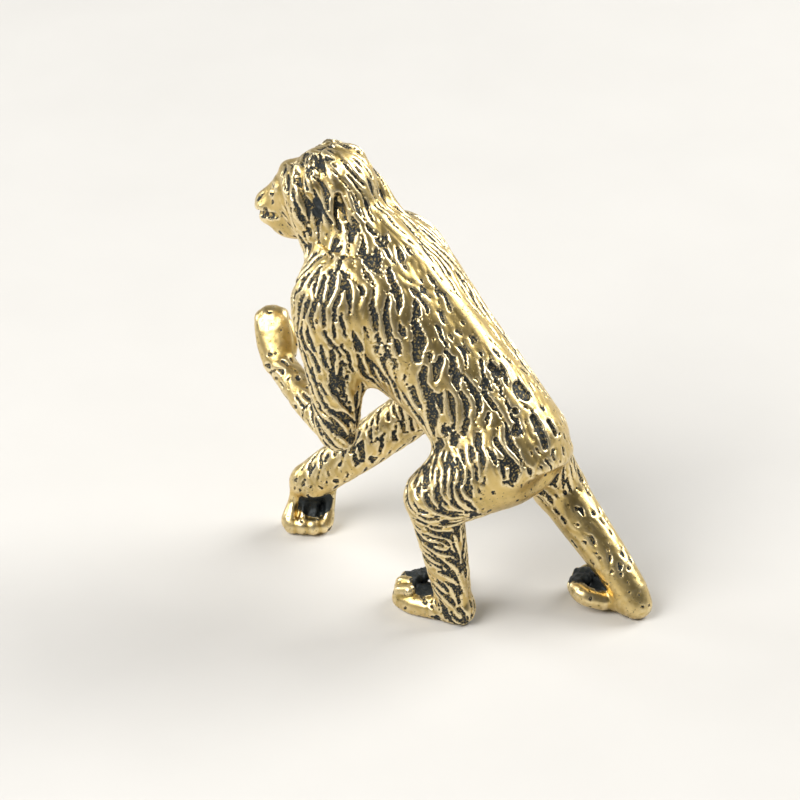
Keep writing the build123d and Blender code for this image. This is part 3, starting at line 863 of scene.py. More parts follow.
def right_leg() -> Leg:
    """The leg that trails behind.

    Returns:
        The leg, with its sizes.
    """
    return Leg(
        Section.RIGHT_LEG, (-13.0, 3.0, -2.0), (3.0, 26.0, 26.0),
        thigh=((-3.3, 8.05, 17.4, 3.2), (-5.0, 8.9, 14.0, 2.9), (-6.45, 9.7, 10.9, 2.5)),
        shin=((-6.45, 9.7, 10.8, 2.5), (-6.0, 13.0, 7.9, 2.25), (-5.6, 16.6, 4.7, 1.95),
              (-5.3, 18.9, 2.5, 1.75)),
        foot=Frame((-5.3, 18.95, 0.0), heading(-8), (0.9903, 0.1392, 0.0)), side=-1)


@dataclass
class Skin:
    """The smooth skin before the coat is cut: its mesh, and the section of each place."""

    places: Array
    faces: Array
    normals: Array
    owner: Array

    def of(self, section: Section) -> Array:
        """1 at the places of a section and 0 elsewhere."""
        return (self.owner == section).astype(float)


class Cut(IntEnum):
    """The ways the coat is cut, in the order of their weights."""

    BROAD = 0
    FINE = 1
    SHORT = 2
    PITTED = 3


@dataclass(frozen=True)
class Gouge:
    """How far apart the grooves of a cut are and how far each one runs, in millimetres."""

    wave: float
    run: float


@dataclass(frozen=True)
class Patch:
    """How a region of the coat is cut: the cut, the share of it in grooves and their depth."""

    cut: Cut
    share: float
    depth: float


@dataclass(frozen=True)
class Pit:
    """A mark struck into the back, from a start to an end (along the spine, to the left)."""

    start: Pair
    end: Pair
    radius: float


@dataclass(frozen=True)
class Sway:
    """A wave that turns the hair: its angle and start in radians, its way in radians a millimetre."""

    angle: float
    way: Place
    start: float


@dataclass
class Comb:
    """What each place is to have: the way of the hair, the weight of each cut, the share, the depth."""

    rows: Array

    @property
    def ways(self) -> Array:
        """The way the hair lies at each place."""
        return self.rows[:, :3]

    @property
    def weights(self) -> Array:
        """The weight of each cut at each place."""
        return self.rows[:, 3:7]

    @property
    def share(self) -> Array:
        """The share of each place that is to be in grooves."""
        return self.rows[:, 7]

    @property
    def depth(self) -> Array:
        """The depth of the grooves at each place."""
        return self.rows[:, 8]

    def region(self, weight: Array, way: Array, patch: Patch) -> None:
        """Blend a region in by its weight, from 0 to 1.

        Args:
            weight: How much of the region each place takes.
            way: The way the hair lies, one for all places or one a place.
            patch: How the region is cut.
        """
        full = np.zeros_like(self.rows)
        full[:, :3] = way
        full[:, 3 + patch.cut] = 1
        full[:, 7], full[:, 8] = patch.share, patch.depth
        self.rows += (full - self.rows) * weight[:, None]


def ways_by_height(height: Array, levels: tuple[float, ...], ways: Rows) -> Array:
    """Ways that change evenly from level to level."""
    table = np.array(ways)
    return np.stack([np.interp(height, levels, table[:, k]) for k in range(3)], axis=1)


@dataclass
class Coat:
    """The hair and the worn skin: which way the hair lies, how it is cut and how deep.

    Each spot, and each spot of painted shade with patina, is a place in the figure and a radius. A region
    of the coat fades in between two levels, in millimetres, and what is combed later lies over what was
    combed before.
    """

    torso: Torso
    head: Head
    gouges: tuple[Gouge, ...] = (Gouge(1.12, 3.4), Gouge(0.76, 3.4), Gouge(0.8, 1.5), Gouge(0.85, 0.0))
    cells: int = 96
    wave_cells: int = 8
    wave_spread: float = 0.28
    run_spacing: float = 0.3
    tilt: Rows = ((0.83, 0.36, -0.42), (-0.16, 0.89, 0.44), (0.53, -0.3, 0.79))
    seed: int = 7
    flank: Patch = Patch(Cut.BROAD, 0.46, 0.23)
    belly: Patch = Patch(Cut.FINE, 0.40, 0.17)
    far_side: Patch = Patch(Cut.FINE, 0.42, 0.16)
    worn_back: Patch = Patch(Cut.SHORT, 0.28, 0.09)
    spine: Patch = Patch(Cut.FINE, 0.08, 0.08)
    rump: Patch = Patch(Cut.SHORT, 0.16, 0.14)
    under_rump: Patch = Patch(Cut.PITTED, 0.03, 0.06)
    crown: Patch = Patch(Cut.FINE, 0.36, 0.16)
    raised_arm: Patch = Patch(Cut.FINE, 0.48, 0.18)
    raised_forearm: Patch = Patch(Cut.SHORT, 0.24, 0.15)
    leaning_arm: Patch = Patch(Cut.FINE, 0.40, 0.20)
    leaning_forearm: Patch = Patch(Cut.SHORT, 0.36, 0.17)
    leaning_wrist: Patch = Patch(Cut.SHORT, 0.20, 0.13)
    standing_leg: Patch = Patch(Cut.FINE, 0.50, 0.18)
    trailing_thigh: Patch = Patch(Cut.FINE, 0.40, 0.17)
    trailing_shin: Patch = Patch(Cut.SHORT, 0.13, 0.12)
    bare_skin: Patch = Patch(Cut.PITTED, 0.06, 0.05)
    rump_fold: Patch = Patch(Cut.PITTED, 0.02, 0.03)
    bare_spots: Rows = ((5.0, 1.0, 0.4, 3.3), (2.4, -18.4, 24.4, 3.9), (-1.2, -16.9, 2.2, 4.2),
                        (-5.6, 17.0, 0.8, 4.6))
    # Spots of painted shade, with patina, in the hollows of the palm, the feet, the groin, the face and the
    # locks.
    palm_shade_and_patina: Rows = ((-0.95, -15.8, 3.35, 1.95),)
    foot_shade_and_patina: Rows = ((4.6, 1.9, 2.5, 1.9), (3.6, 0.2, 3.2, 1.9), (-5.4, 15.7, 2.5, 2.0),
                         (-4.6, 13.6, 3.2, 1.9))
    groin_shade_and_patina: Rows = ((-2.6, 11.0, 14.0, 1.2),)
    face_shade_and_patina: Rows = ((2.35, -18.0, 39.3, 0.85), (1.75, -19.85, 37.45, 0.6), (1.5, -20.3, 36.4, 0.5),
                         (2.15, -19.6, 36.4, 0.55), (2.55, -18.75, 36.55, 0.58), (2.75, -17.9, 36.75, 0.55))
    lock_shade_and_patina: Rows = ((4.2, -11.6, 40.4, 0.8), (4.5, -11.6, 39.5, 0.9))
    pits: tuple[Pit, ...] = (
        Pit((3.6, 0.2), (4.4, 0.35), 0.72), Pit((2.85, 2.1), (2.85, 2.15), 0.32),
        Pit((1.5, 3.0), (1.2, 3.3), 0.42), Pit((1.25, 0.95), (-1.5, 1.45), 0.42),
        Pit((0.1, -0.5), (-1.2, -0.4), 0.3), Pit((6.6, 1.2), (7.6, 1.5), 0.4))
    pit_depth: float = 0.3
    pit_edge: float = 0.12
    sways: tuple[Sway, ...] = (Sway(0.22, (1.1, 0.7, -0.6), 1.0), Sway(0.16, (-1.9, 1.6, 2.1), 0.0))
    evening_rounds: int = 30
    hollow_sink: Pair = (0.05, 0.30)
    hollow_more: float = 0.25
    shut_in_more: float = 0.5
    speck_wave: float = 0.42
    speck_weight: float = 0.2
    noise_spread: float = 1.02
    wall: Pair = (-0.1, 0.6)
    swell_gain: float = 0.7
    swell_height: float = 0.35

    def grain(self) -> Array:
        """A block of even noise of one wavelength, which repeats without a seam.

        Each wave of white noise is kept by how close its length is to the wanted one.

        Returns:
            The block, with a spread of 1.
        """
        rng = np.random.default_rng(self.seed)
        spectrum = np.fft.rfftn(rng.standard_normal((self.cells,) * 3))
        whole, half = np.fft.fftfreq(self.cells), np.fft.rfftfreq(self.cells)
        turns = np.sqrt(whole[:, None, None] ** 2 + whole[None, :, None] ** 2 + half[None, None, :] ** 2)
        keep = np.exp(-((turns * self.wave_cells - 1) / self.wave_spread) ** 2)
        block = np.fft.irfftn(spectrum * keep, (self.cells,) * 3)
        return (block / block.std()).astype(np.float32)

    def sample(self, block: Array, places: Array) -> Array:
        """The block's values at places counted in its cells, weighted by nearness and repeated.

        Args:
            block: The block of noise.
            places: Places, counted in its cells.

        Returns:
            One value a place.
        """
        base = np.floor(places)
        share = (places - base).astype(np.float32)
        base = base.astype(np.int64)
        total = np.zeros(len(places), np.float32)
        for corner in np.ndindex(2, 2, 2):
            at = (base + corner) % self.cells
            weight = np.ones(len(places), np.float32)
            for k in range(3):
                weight *= share[:, k] if corner[k] else 1 - share[:, k]
            total += weight * block[at[:, 0], at[:, 1], at[:, 2]]
        return total

    def combed(self, block: Array, places: Array, ways: Array, gouge: Gouge) -> Array:
        """Noise drawn out along the hair: its mean over a run each way, weighted to the middle.

        The block is tilted against the figure's axes, so that its repeats don't line up with them.

        Args:
            block: The block of noise.
            places: Places on the skin.
            ways: The unit direction of the hair there.
            gouge: The wavelength and the run.

        Returns:
            One value a place, with a mean of 0 and a spread of 1.
        """
        tilt = np.array(self.tilt)
        scale = self.wave_cells / gouge.wave
        steps = max(int(np.ceil(gouge.run / (gouge.wave * self.run_spacing))), 1)
        total = np.zeros(len(places), np.float32)
        for share in (np.arange(steps) + 0.5) / steps - 0.5:
            moved = (places + ways * (share * gouge.run)) @ tilt.T * scale
            total += self.sample(block, moved) * (0.5 + 0.5 * np.cos(2 * np.pi * share))
        return (total - total.mean()) / total.std()

    def groom(self, skin: Skin) -> Comb:
        """What each place is to have, before it is evened out over the skin.

        Args:
            skin: The smooth skin.

        Returns:
            The comb, one row a place.
        """
        comb = Comb(np.zeros((len(skin.places), 9)))
        self.comb_trunk(comb, skin)
        away = -self.head.frame.axes[2] - 0.55 * self.head.frame.axes[0]
        comb.region(skin.of(Section.HEAD), away, self.crown)
        self.comb_arms(comb, skin)
        self.comb_legs(comb, skin)
        comb.region(self.bare(skin.places), (0.0, 0.3, -1.0), self.bare_skin)
        side, behind, height = skin.places.T
        fold = (eased(8.6, 9.8, behind) * (1 - eased(17.3, 18.4, height)) * eased(13.0, 14.6, height)
                * eased(-1.5, 0.0, side))
        comb.region(fold, (0.0, 0.3, -1.0), self.rump_fold)
        return comb

    def comb_trunk(self, comb: Comb, skin: Skin) -> None:
        """The trunk: broad grooves that hang from the spine, a worn back and a smooth lip.

        Args:
            comb: The comb to fill in.
            skin: The smooth skin.
        """
        along, left, up = self.torso.frame.seen(skin.places).T
        tailwards = -self.torso.frame.axes[0]
        on_back = eased(0, 2, up)
        comb.region(np.ones(len(up)), (0.0, 0.12, -1.0), self.flank)
        comb.region(eased(-1.5, 3.5, -up) * eased(-1.0, 1.0, left), (0.0, 0.75, -0.8), self.belly)
        comb.region(eased(0.4, 1.5, -left), tailwards, self.far_side)
        worn = (eased(0.0, 1.0, left) * (1 - eased(3.0, 4.6, left)) * eased(7.0, 11.0, along)
                * (1 - eased(19.0, 23.0, along)) * on_back)
        comb.region(worn, (0.0, 0.4, -1.0), self.worn_back)
        comb.region((1 - eased(0.5, 1.3, np.abs(left))) * on_back, tailwards, self.spine)
        comb.region((1 - eased(1.0, 5.0, along)) * (1 - eased(2.2, 4.0, left)), (0.1, 0.5, -0.9), self.rump)
        _, behind, height = skin.places.T
        comb.region(eased(11.5, 12.5, behind) * (1 - eased(17.4, 18.6, height)), tailwards, self.under_rump)

    def comb_arms(self, comb: Comb, skin: Skin) -> None:
        """The arms: long hair that turns back at the elbow, shorter on the forearms.

        Args:
            comb: The comb to fill in.
            skin: The smooth skin.
        """
        height = skin.places[:, 2]
        raised, leaning = skin.of(Section.LEFT_ARM), skin.of(Section.RIGHT_ARM)
        turning = ways_by_height(height, (19, 23, 27, 30), ((0, 1, -0.8), (0, 1, -0.9), (0, 0.3, -1),
                                                            (0, 0.05, -1)))
        comb.region(raised, turning, self.raised_arm)
        reach = (skin.places - (8.4, -6.2, 18.7)) @ unit(np.array((-5.0, -10.8, 2.5)))
        forearm = raised * eased(3.6, 4.6, reach) * (1 - eased(23.2, 24.2, height))
        comb.region(forearm, (-0.42, -0.88, 0.2), self.raised_forearm)
        comb.region(leaning, (0.0, 0.3, -1.0), self.leaning_arm)
        comb.region(leaning * (1 - eased(12.5, 14.0, height)), (0.1, 0.1, -1.0), self.leaning_forearm)
        comb.region(leaning * (1 - eased(7.6, 9.6, height)), (0.1, 0.1, -1.0), self.leaning_wrist)

    def comb_legs(self, comb: Comb, skin: Skin) -> None:
        """The legs: slanting hair on the standing one, a nearly bare shin on the trailing one.

        Args:
            comb: The comb to fill in.
            skin: The smooth skin.
        """
        height = skin.places[:, 2]
        standing, trailing = skin.of(Section.LEFT_LEG), skin.of(Section.RIGHT_LEG)
        slanting = ways_by_height(height, (4, 9, 14, 17.5), ((0.1, 0.9, -0.8), (0.1, 1, -0.6),
                                                             (0.1, 1, -0.45), (0.1, 0.4, -1)))
        comb.region(standing, slanting, self.standing_leg)
        comb.region(trailing, (0.0, 0.5, -0.8), self.trailing_thigh)
        comb.region(trailing * (1 - eased(11.0, 12.5, height)), (0.1, 0.75, -0.65), self.trailing_shin)

    def bare(self, places: Array) -> Array:
        """How bare each place is, from 0 in the coat to 1 on the hands, the feet and the face.

        Args:
            places: Places on the skin.

        Returns:
            One value a place.
        """
        bare = self.spotted(places, self.bare_spots, 0.5, 0.5)
        ahead, left, up = self.head.frame.seen(places).T
        front = eased(2.75, 3.15, ahead - 0.12 * np.abs(left) - 0.14 * np.maximum(up, 0))
        oval = 1 - eased(3.1, 3.9, np.hypot(left, 0.7 * up))
        return np.maximum(bare, front * oval)

    def spotted(self, places: Array, spots: Rows, inner: float, outer: float) -> Array:
        """How far each place lies within any of some spots.

        Args:
            places: Places on the skin.
            spots: Place and radius of each spot.
            inner: How far inside its radius a spot starts to fade.
            outer: How far outside its radius it ends.

        Returns:
            Values from 0 outside to 1 inside.
        """
        near = [1 - eased(radius - inner, radius + outer, np.linalg.norm(places - middle, axis=1))
                for *middle, radius in spots]
        return np.max(near, axis=0)

    def shade_and_patina(self, places: Array) -> Array:
        """How far each place lies in the spots of painted shade with patina: in the palm, the feet, the
        groin, the face and the locks.
        """
        shade_spots = self.palm_shade_and_patina + self.foot_shade_and_patina + self.groin_shade_and_patina + self.face_shade_and_patina + self.lock_shade_and_patina
        return self.spotted(places, shade_spots, 0.6, 0.3)

    def struck(self, places: Array) -> Array:
        """How deep each place lies in the pits and streaks that were struck one by one.

        Args:
            places: Places on the skin.

        Returns:
            Values from 0 outside the pits to 1 inside.
        """
        along, left, up = self.torso.frame.seen(places).T
        flat = np.stack([along, left], axis=1)
        deep = np.zeros(len(places))
        for pit in self.pits:
            way = np.array(pit.end) - pit.start
            share = np.clip((flat - pit.start) @ way / max(float(way @ way), TINY), 0, 1)
            gap = np.linalg.norm(flat - pit.start - share[:, None] * way, axis=1)
            edge = eased(pit.radius - self.pit_edge, pit.radius + self.pit_edge, gap)
            deep = np.maximum(deep, (1 - edge) * (up > 1))
        return deep

    def lie(self, skin: Skin, comb: Comb) -> Array:
        """The unit way the hair lies along the skin, with the sways turned in.

        Args:
            skin: The smooth skin.
            comb: What each place is to have.

        Returns:
            One unit direction a place.
        """
        along = comb.ways - skin.normals * np.sum(comb.ways * skin.normals, axis=1, keepdims=True)
        ways = unit(along)
        turn = sum(sway.angle * np.sin(skin.places @ np.array(sway.way) + sway.start) for sway in self.sways)
        return ways * np.cos(turn)[:, None] + np.cross(skin.normals, ways) * np.sin(turn)[:, None]

    def cut(self, skin: Skin, deep: Array) -> tuple[Array, Array]:
        """Cut the coat into the skin.

        The combed noise is a groove where it is above the level that leaves the wanted share in
        grooves. There the skin sinks by the depth, between soft walls, and elsewhere it swells a
        little towards the middle of each lock.

        Args:
            skin: The smooth skin.
            deep: How far each place is shut in, from 0 to 1.

        Returns:
            The moved places, and how far each lies in a groove.
        """
        comb = Comb(neighbour_mean(skin.faces, self.groom(skin).rows, self.evening_rounds))
        even = neighbour_mean(skin.faces, skin.places, self.evening_rounds)
        hollow = eased(*self.hollow_sink, np.sum((even - skin.places) * skin.normals, axis=1))
        ways, block = self.lie(skin, comb), self.grain()
        smooth = np.zeros(len(skin.places))
        for gouge, weight in zip(self.gouges, comb.weights.T):
            smooth += weight * self.combed(block, skin.places, ways, gouge)
        smooth /= np.maximum(np.linalg.norm(comb.weights, axis=1), TINY)
        specks = self.sample(block, skin.places * (self.wave_cells / self.speck_wave))
        shares = np.linspace(0.01, 0.95, 95)
        levels = [NormalDist(0, self.noise_spread).inv_cdf(1 - share) for share in shares]
        level = np.interp(comb.share + self.hollow_more * hollow + self.shut_in_more * deep, shares, levels)
        struck = self.struck(skin.places)
        groove = np.maximum(eased(*self.wall, smooth + self.speck_weight * specks - level), struck)
        swell = np.tanh(np.maximum(level - smooth, 0) * self.swell_gain) * (1 - struck)
        depth = np.maximum(comb.depth, self.pit_depth * struck)
        moved = skin.places + skin.normals * (depth * (self.swell_height * swell - groove))[:, None]
        return moved, groove


@dataclass
class Surface:
    """The finished skin as one mesh, with what the finish needs to know at each vertex."""

    places: Array
    faces: Array
    normals: Array
    owner: Array
    looks: dict[str, Array]

    def closing_fans(self, section: Section) -> tuple[Array, Array]:
        """What closes a section where it is cut: a fan of triangles for each neighbour.

        The fan's edges are those whose other side belongs to the neighbour, and its tip is their
        mean. Both neighbours get the same tip.

        Args:
            section: The section to close.

        Returns:
            The tips, and the triangles, whose numbers count on from the skin's vertices.
        """
        count = np.int64(len(self.places))
        edges = np.vstack([self.faces[:, [k, (k + 1) % 4]] for k in range(4)]).astype(np.int64)
        owner = np.tile(self.owner, 4)
        code, back = edges[:, 0] * count + edges[:, 1], edges[:, 1] * count + edges[:, 0]
        order = np.argsort(code)
        match = order[np.clip(np.searchsorted(code, back, sorter=order), 0, len(code) - 1)]
        other = np.where(code[match] == back, owner[match], 0)
        rim = (owner == section) & (other != section)
        tips, fans = [np.zeros((0, 3))], [np.zeros((0, 3), np.int64)]
        for turn, neighbour in enumerate(np.unique(other[rim])):
            pair = edges[rim & (other == neighbour)]
            tips.append(self.places[pair[:, 0]].mean(0)[None])
            fans.append(np.hstack([pair[:, ::-1], np.full((len(pair), 1), count + turn)]))
        return np.vstack(tips), np.vstack(fans)

    def part(self, section: Section) -> bpy.types.Object:
        """One section as a closed piece: its faces of the skin, and the fans that close it.

        Args:
            section: The section to part off.

        Returns:
            The new object.
        """
        tips, fans = self.closing_fans(section)
        quads = self.faces[self.owner == section]
        places = np.vstack([self.places, tips])
        used = np.unique(np.concatenate([quads.ravel(), fans.ravel()]))
        number = np.full(len(places), -1, np.int64)
        number[used] = np.arange(len(used))
        quads, fans = number[quads], number[fans]
        mesh = bpy.data.meshes.new(section.node + "_cast")
        mesh.vertices.add(len(used))
        mesh.vertices.foreach_set("co", (places[used] * METRE).astype(np.float32).ravel())
        mesh.loops.add(quads.size + fans.size)
        corners = np.concatenate([quads.ravel(), fans.ravel()])
        mesh.loops.foreach_set("vertex_index", corners.astype(np.int32))
        mesh.polygons.add(len(quads) + len(fans))
        starts = np.concatenate([np.arange(len(quads)) * 4, quads.size + np.arange(len(fans)) * 3])
        mesh.polygons.foreach_set("loop_start", starts.astype(np.int32))
        mesh.update(calc_edges=True)
        mesh.polygons.foreach_set("use_smooth", np.ones(len(mesh.polygons), bool))
        for name, values in self.looks.items():
            layer = mesh.attributes.new(name, "FLOAT", "POINT")
            padded = np.concatenate([values, np.zeros(len(tips))])
            layer.data.foreach_set("value", padded[used].astype(np.float32))
        normals = np.vstack([self.normals, np.tile([0.0, 0.0, 1.0], (len(tips), 1))])[used]
        mesh.normals_split_custom_set_from_vertices(normals.astype(np.float32))
        mesh.validate()
        piece = bpy.data.objects.new(section.node + "_cast", mesh)
        bpy.context.scene.collection.objects.link(piece)
        return piece


def carve_figure(step: float) -> Surface:
    """Model the whole figure, draw its skin and cut its coat.

    Args:
        step: The grid's spacing, in millimetres.

    Returns:
        The finished surface.
    """
    ground_blend, sole_height, off_skin, bulge_rounds = 0.2, 0.25, 0.3, 3
    clay = Clay(np.array(BLOCK_LOW), np.array(BLOCK_HIGH), step)
    torso, head = Torso(), Head()
    for maker in (torso, head, left_arm(), right_arm(), left_leg(), right_leg()):
        maker.model(clay)
        LOG.info("modelled %s", type(maker).__name__)
    clay.flatten_below(ground_blend)
    places, faces = draw_skin(clay.skin, clay.low, step)
    skin = Skin(places, faces, vertex_normals(places, faces), clay.owner_at(places))
    coat = Coat(torso, head)
    # deep is the larger of how far each place is shut in and how far it lies in the spots; the finish paints
    # shade there, with patina.
    deep = np.maximum(clay.shut_in(places + skin.normals * off_skin), coat.shade_and_patina(places))
    moved, groove = coat.cut(skin, deep)
    moved[:, 2] = np.where(places[:, 2] < sole_height, places[:, 2], moved[:, 2])
    LOG.info("cut the coat into %d places", len(places))
    normals = vertex_normals(moved, faces)
    bulge = np.sum((moved - neighbour_mean(faces, moved, bulge_rounds)) * normals, axis=1)
    looks = {"recess": groove, "rubbed": bulge / step, "deep": deep}
    owner = clay.owner_at(places[faces].mean(1))
    return Surface(moved + np.array(STANDING_SHIFT), faces, normals, owner, looks)


@dataclass(frozen=True)
class Cloud:
    """Cloudy noise: how many waves there are in a metre, how many finer ones, and their strength."""

    scale: float
    detail: float
    roughness: float


@dataclass
class Wiring:
    """Short ways to add and join shader nodes."""

    tree: bpy.types.NodeTree

    def add(self, kind: str) -> bpy.types.Node:
        """A new node of a kind."""
        return self.tree.nodes.new(kind)

    def feed(self, value: Socket | Colour | float, entry: Socket) -> None:
        """Lead a node's output into an entry, or set the entry to a fixed value.

        Args:
            value: The output or the fixed value.
            entry: The input that takes it.
        """
        if isinstance(value, Socket):
            self.tree.links.new(value, entry)
        else:
            entry.default_value = value

    def attribute(self, name: str) -> Socket:
        """The value that the mesh carries under a name.

        Args:
            name: The name of the attribute.

        Returns:
            Its value.
        """
        node = self.add("ShaderNodeAttribute")
        node.attribute_name = name
        return node.outputs["Fac"]

    def noise(self, place: Socket, cloud: Cloud) -> Socket:
        """Cloudy noise over a place.

        Args:
            place: Where the noise is read.
            cloud: What the noise is like.

        Returns:
            Values round a half.
        """
        node = self.add("ShaderNodeTexNoise")
        for name, value in (("Vector", place), ("Scale", cloud.scale), ("Detail", cloud.detail),
                            ("Roughness", cloud.roughness)):
            self.feed(value, node.inputs[name])
        return node.outputs["Fac"]

    def math(self, kind: str, one: Socket, other: Socket | float) -> Socket:
        """A sum, a product or the larger of two values.

        Args:
            kind: The rule's name.
            one: The first value.
            other: The second value.

        Returns:
            What the rule gives.
        """
        node = self.add("ShaderNodeMath")
        node.operation = kind
        self.feed(one, node.inputs[0])
        self.feed(other, node.inputs[1])
        return node.outputs[0]

    def plus(self, one: Socket, other: Socket | float) -> Socket:
        """One value and another, added."""
        return self.math("ADD", one, other)

    def times(self, one: Socket, other: Socket | float) -> Socket:
        """One value times another."""
        return self.math("MULTIPLY", one, other)

    def larger(self, one: Socket, other: Socket) -> Socket:
        """The larger of two values."""
        return self.math("MAXIMUM", one, other)

    def ramp(self, value: Socket, levels: Pair) -> Socket:
        """A value brought from two levels to 0 and 1, smoothly.

        Args:
            value: The value.
            levels: Where it gives 0 and where it gives 1.

        Returns:
            A value from 0 to 1.
        """
        node = self.add("ShaderNodeMapRange")
        node.interpolation_type = "SMOOTHSTEP"
        self.feed(value, node.inputs["Value"])
        self.feed(levels[0], node.inputs["From Min"])
        self.feed(levels[1], node.inputs["From Max"])
        return node.outputs["Result"]

    def spread(self, value: Socket, levels: Pair) -> Socket:
        """A value brought from 0 and 1 to two levels.

        Args:
            value: A value from 0 to 1.
            levels: What it gives at 0 and at 1.

        Returns:
            A value between the levels.
        """
        node = self.add("ShaderNodeMapRange")
        self.feed(value, node.inputs["Value"])
        self.feed(levels[0], node.inputs["To Min"])
        self.feed(levels[1], node.inputs["To Max"])
        return node.outputs["Result"]

    def blend(self, share: Socket, one: Socket | Colour, other: Socket | Colour) -> Socket:
        """A colour between two, by a share.

        Args:
            share: The share of the other colour.
            one: The colour at a share of 0.
            other: The colour at a share of 1.

        Returns:
            The blended colour.
        """
        node = self.add("ShaderNodeMix")
        node.data_type = "RGBA"
        self.feed(share, node.inputs[0])
        self.feed(one, node.inputs[6])
        self.feed(other, node.inputs[7])
        return node.outputs[2]


@dataclass(frozen=True)
class Brass:
    """The finish: cast brass, dark in the grooves, with painted shade in the hollows, and rubbed bright
    where hands touch it.

    Levels are where a value begins to count and where it counts in full. Metallic and roughness hold
    what bare metal has and what full patina and full painted shade have, and speckled how much patina
    stays off a speck and on it.
    """

    metal: Colour = (0.68, 0.50, 0.19, 1.0)
    worn: Colour = (0.94, 0.79, 0.48, 1.0)
    # The dark of the patina in the grooves and holes, and of the painted shade in the hollows.
    patina_and_shade: Colour = (0.022, 0.028, 0.030, 1.0)
    tarnish: Colour = (0.36, 0.27, 0.09, 1.0)
    fine: Cloud = Cloud(2800.0, 3.0, 0.65)
    broad: Cloud = Cloud(300.0, 4.0, 0.6)
    pits: Cloud = Cloud(4200.0, 2.0, 0.7)
    middle: float = 0.5
    recess_ragged: float = 0.9
    recess_levels: Pair = (0.22, 0.46)
    speck_levels: Pair = (0.54, 0.62)
    speckled: Pair = (1.0, 0.25)
    hole_drift: float = 0.2
    hole_levels: Pair = (0.74, 0.79)
    hole_darkness: float = 0.85
    # The painted shade in the hollows: how ragged its edge is, and its levels.
    deep_ragged: float = 1.4
    deep_levels: Pair = (0.42, 0.62)
    rubbed_levels: Pair = (-0.02, 0.24)
    tarnish_levels: Pair = (0.35, 0.7)
    tarnish_most: float = 0.55
    metallic: Pair = (1.0, 0.45)
    roughness: Pair = (0.29, 0.42)
    roughness_drift: float = 0.12
    bump_strength: float = 0.7
    bump_distance: float = 0.00008
    broad_height: float = 0.8
    pit_height: float = 1.6
    pit_height_bare: float = 0.12

    def darkness(self, wire: Wiring, fine: Socket, broad: Socket, pits: Socket) -> Socket:
        """How dark it is: patina in ragged grooves and small holes, painted shade with patina in the
        hollows.

        Args:
            wire: The wiring.
            fine: The fine noise.
            broad: The broad noise.
            pits: The noise of the pits.

        Returns:
            Values from 0 for bare metal to 1 for full patina, and for full painted shade.
        """
        recess, deep = wire.attribute("recess"), wire.attribute("deep")
        ragged = wire.plus(recess, wire.times(wire.plus(fine, -self.middle), self.recess_ragged))
        specks = wire.spread(wire.ramp(pits, self.speck_levels), self.speckled)
        dark = wire.times(wire.ramp(ragged, self.recess_levels), specks)
        holes = wire.ramp(wire.plus(pits, wire.times(broad, self.hole_drift)), self.hole_levels)
        dark = wire.larger(dark, wire.times(holes, self.hole_darkness))
        # Painted shade, with patina, where metal shuts a place in and in the listed spots.
        hollow = wire.plus(deep, wire.times(wire.plus(broad, -self.middle), self.deep_ragged))
        return wire.larger(dark, wire.ramp(hollow, self.deep_levels))

    def colour(self, wire: Wiring, broad: Socket, dark: Socket) -> Socket:
        """The colour: metal with clouds of tarnish, bright on rubbed edges, under the patina and the painted
        shade in the hollows.

        Args:
            wire: The wiring.
            broad: The broad noise.
            dark: How dark the patina and the painted shade are.

        Returns:
            The colour of the surface.
        """
        clouds = wire.times(wire.ramp(broad, self.tarnish_levels), self.tarnish_most)
        tone = wire.blend(clouds, self.metal, self.tarnish)
        tone = wire.blend(wire.ramp(wire.attribute("rubbed"), self.rubbed_levels), tone, self.worn)
        # The patina in the grooves and holes, and the painted shade in the hollows, darken the colour.
        return wire.blend(dark, tone, self.patina_and_shade)

    def relief(self, wire: Wiring, broad: Socket, pits: Socket, dark: Socket) -> Socket:
        """The direction of the surface, with soft dents and with pits where the patina and the painted shade
        are.

        Args:
            wire: The wiring.
            broad: The broad noise.
            pits: The noise of the pits.
            dark: How dark the patina and the painted shade are.

        Returns:
            The bent direction.
        """
        bump = wire.add("ShaderNodeBump")
        rough = wire.times(wire.times(pits, wire.plus(dark, self.pit_height_bare)), self.pit_height)
        wire.feed(self.bump_strength, bump.inputs["Strength"])
        wire.feed(self.bump_distance, bump.inputs["Distance"])
        wire.feed(wire.plus(wire.times(broad, self.broad_height), rough), bump.inputs["Height"])
        return bump.outputs["Normal"]

    def make(self, name: str) -> bpy.types.Material:
        """The material, from the recess, rubbed and deep values of the skin.

        Args:
            name: What to call it.

        Returns:
            The new material.
        """
        material = bpy.data.materials.new(name)
        material.use_nodes = True
        material.node_tree.nodes.clear()
        wire = Wiring(material.node_tree)
        place = wire.add("ShaderNodeTexCoord").outputs["Object"]
        fine, broad, pits = (wire.noise(place, cloud) for cloud in (self.fine, self.broad, self.pits))
        dark = self.darkness(wire, fine, broad, pits)
        shader = wire.add("ShaderNodeBsdfPrincipled")
        wire.feed(self.colour(wire, broad, dark), shader.inputs["Base Color"])
        wire.feed(wire.spread(dark, self.metallic), shader.inputs["Metallic"])
        rough = wire.plus(wire.spread(dark, self.roughness), wire.times(broad, self.roughness_drift))
        wire.feed(rough, shader.inputs["Roughness"])
        wire.feed(self.relief(wire, broad, pits, dark), shader.inputs["Normal"])
        output = wire.add("ShaderNodeOutputMaterial")
        wire.feed(shader.outputs["BSDF"], output.inputs["Surface"])
        return material


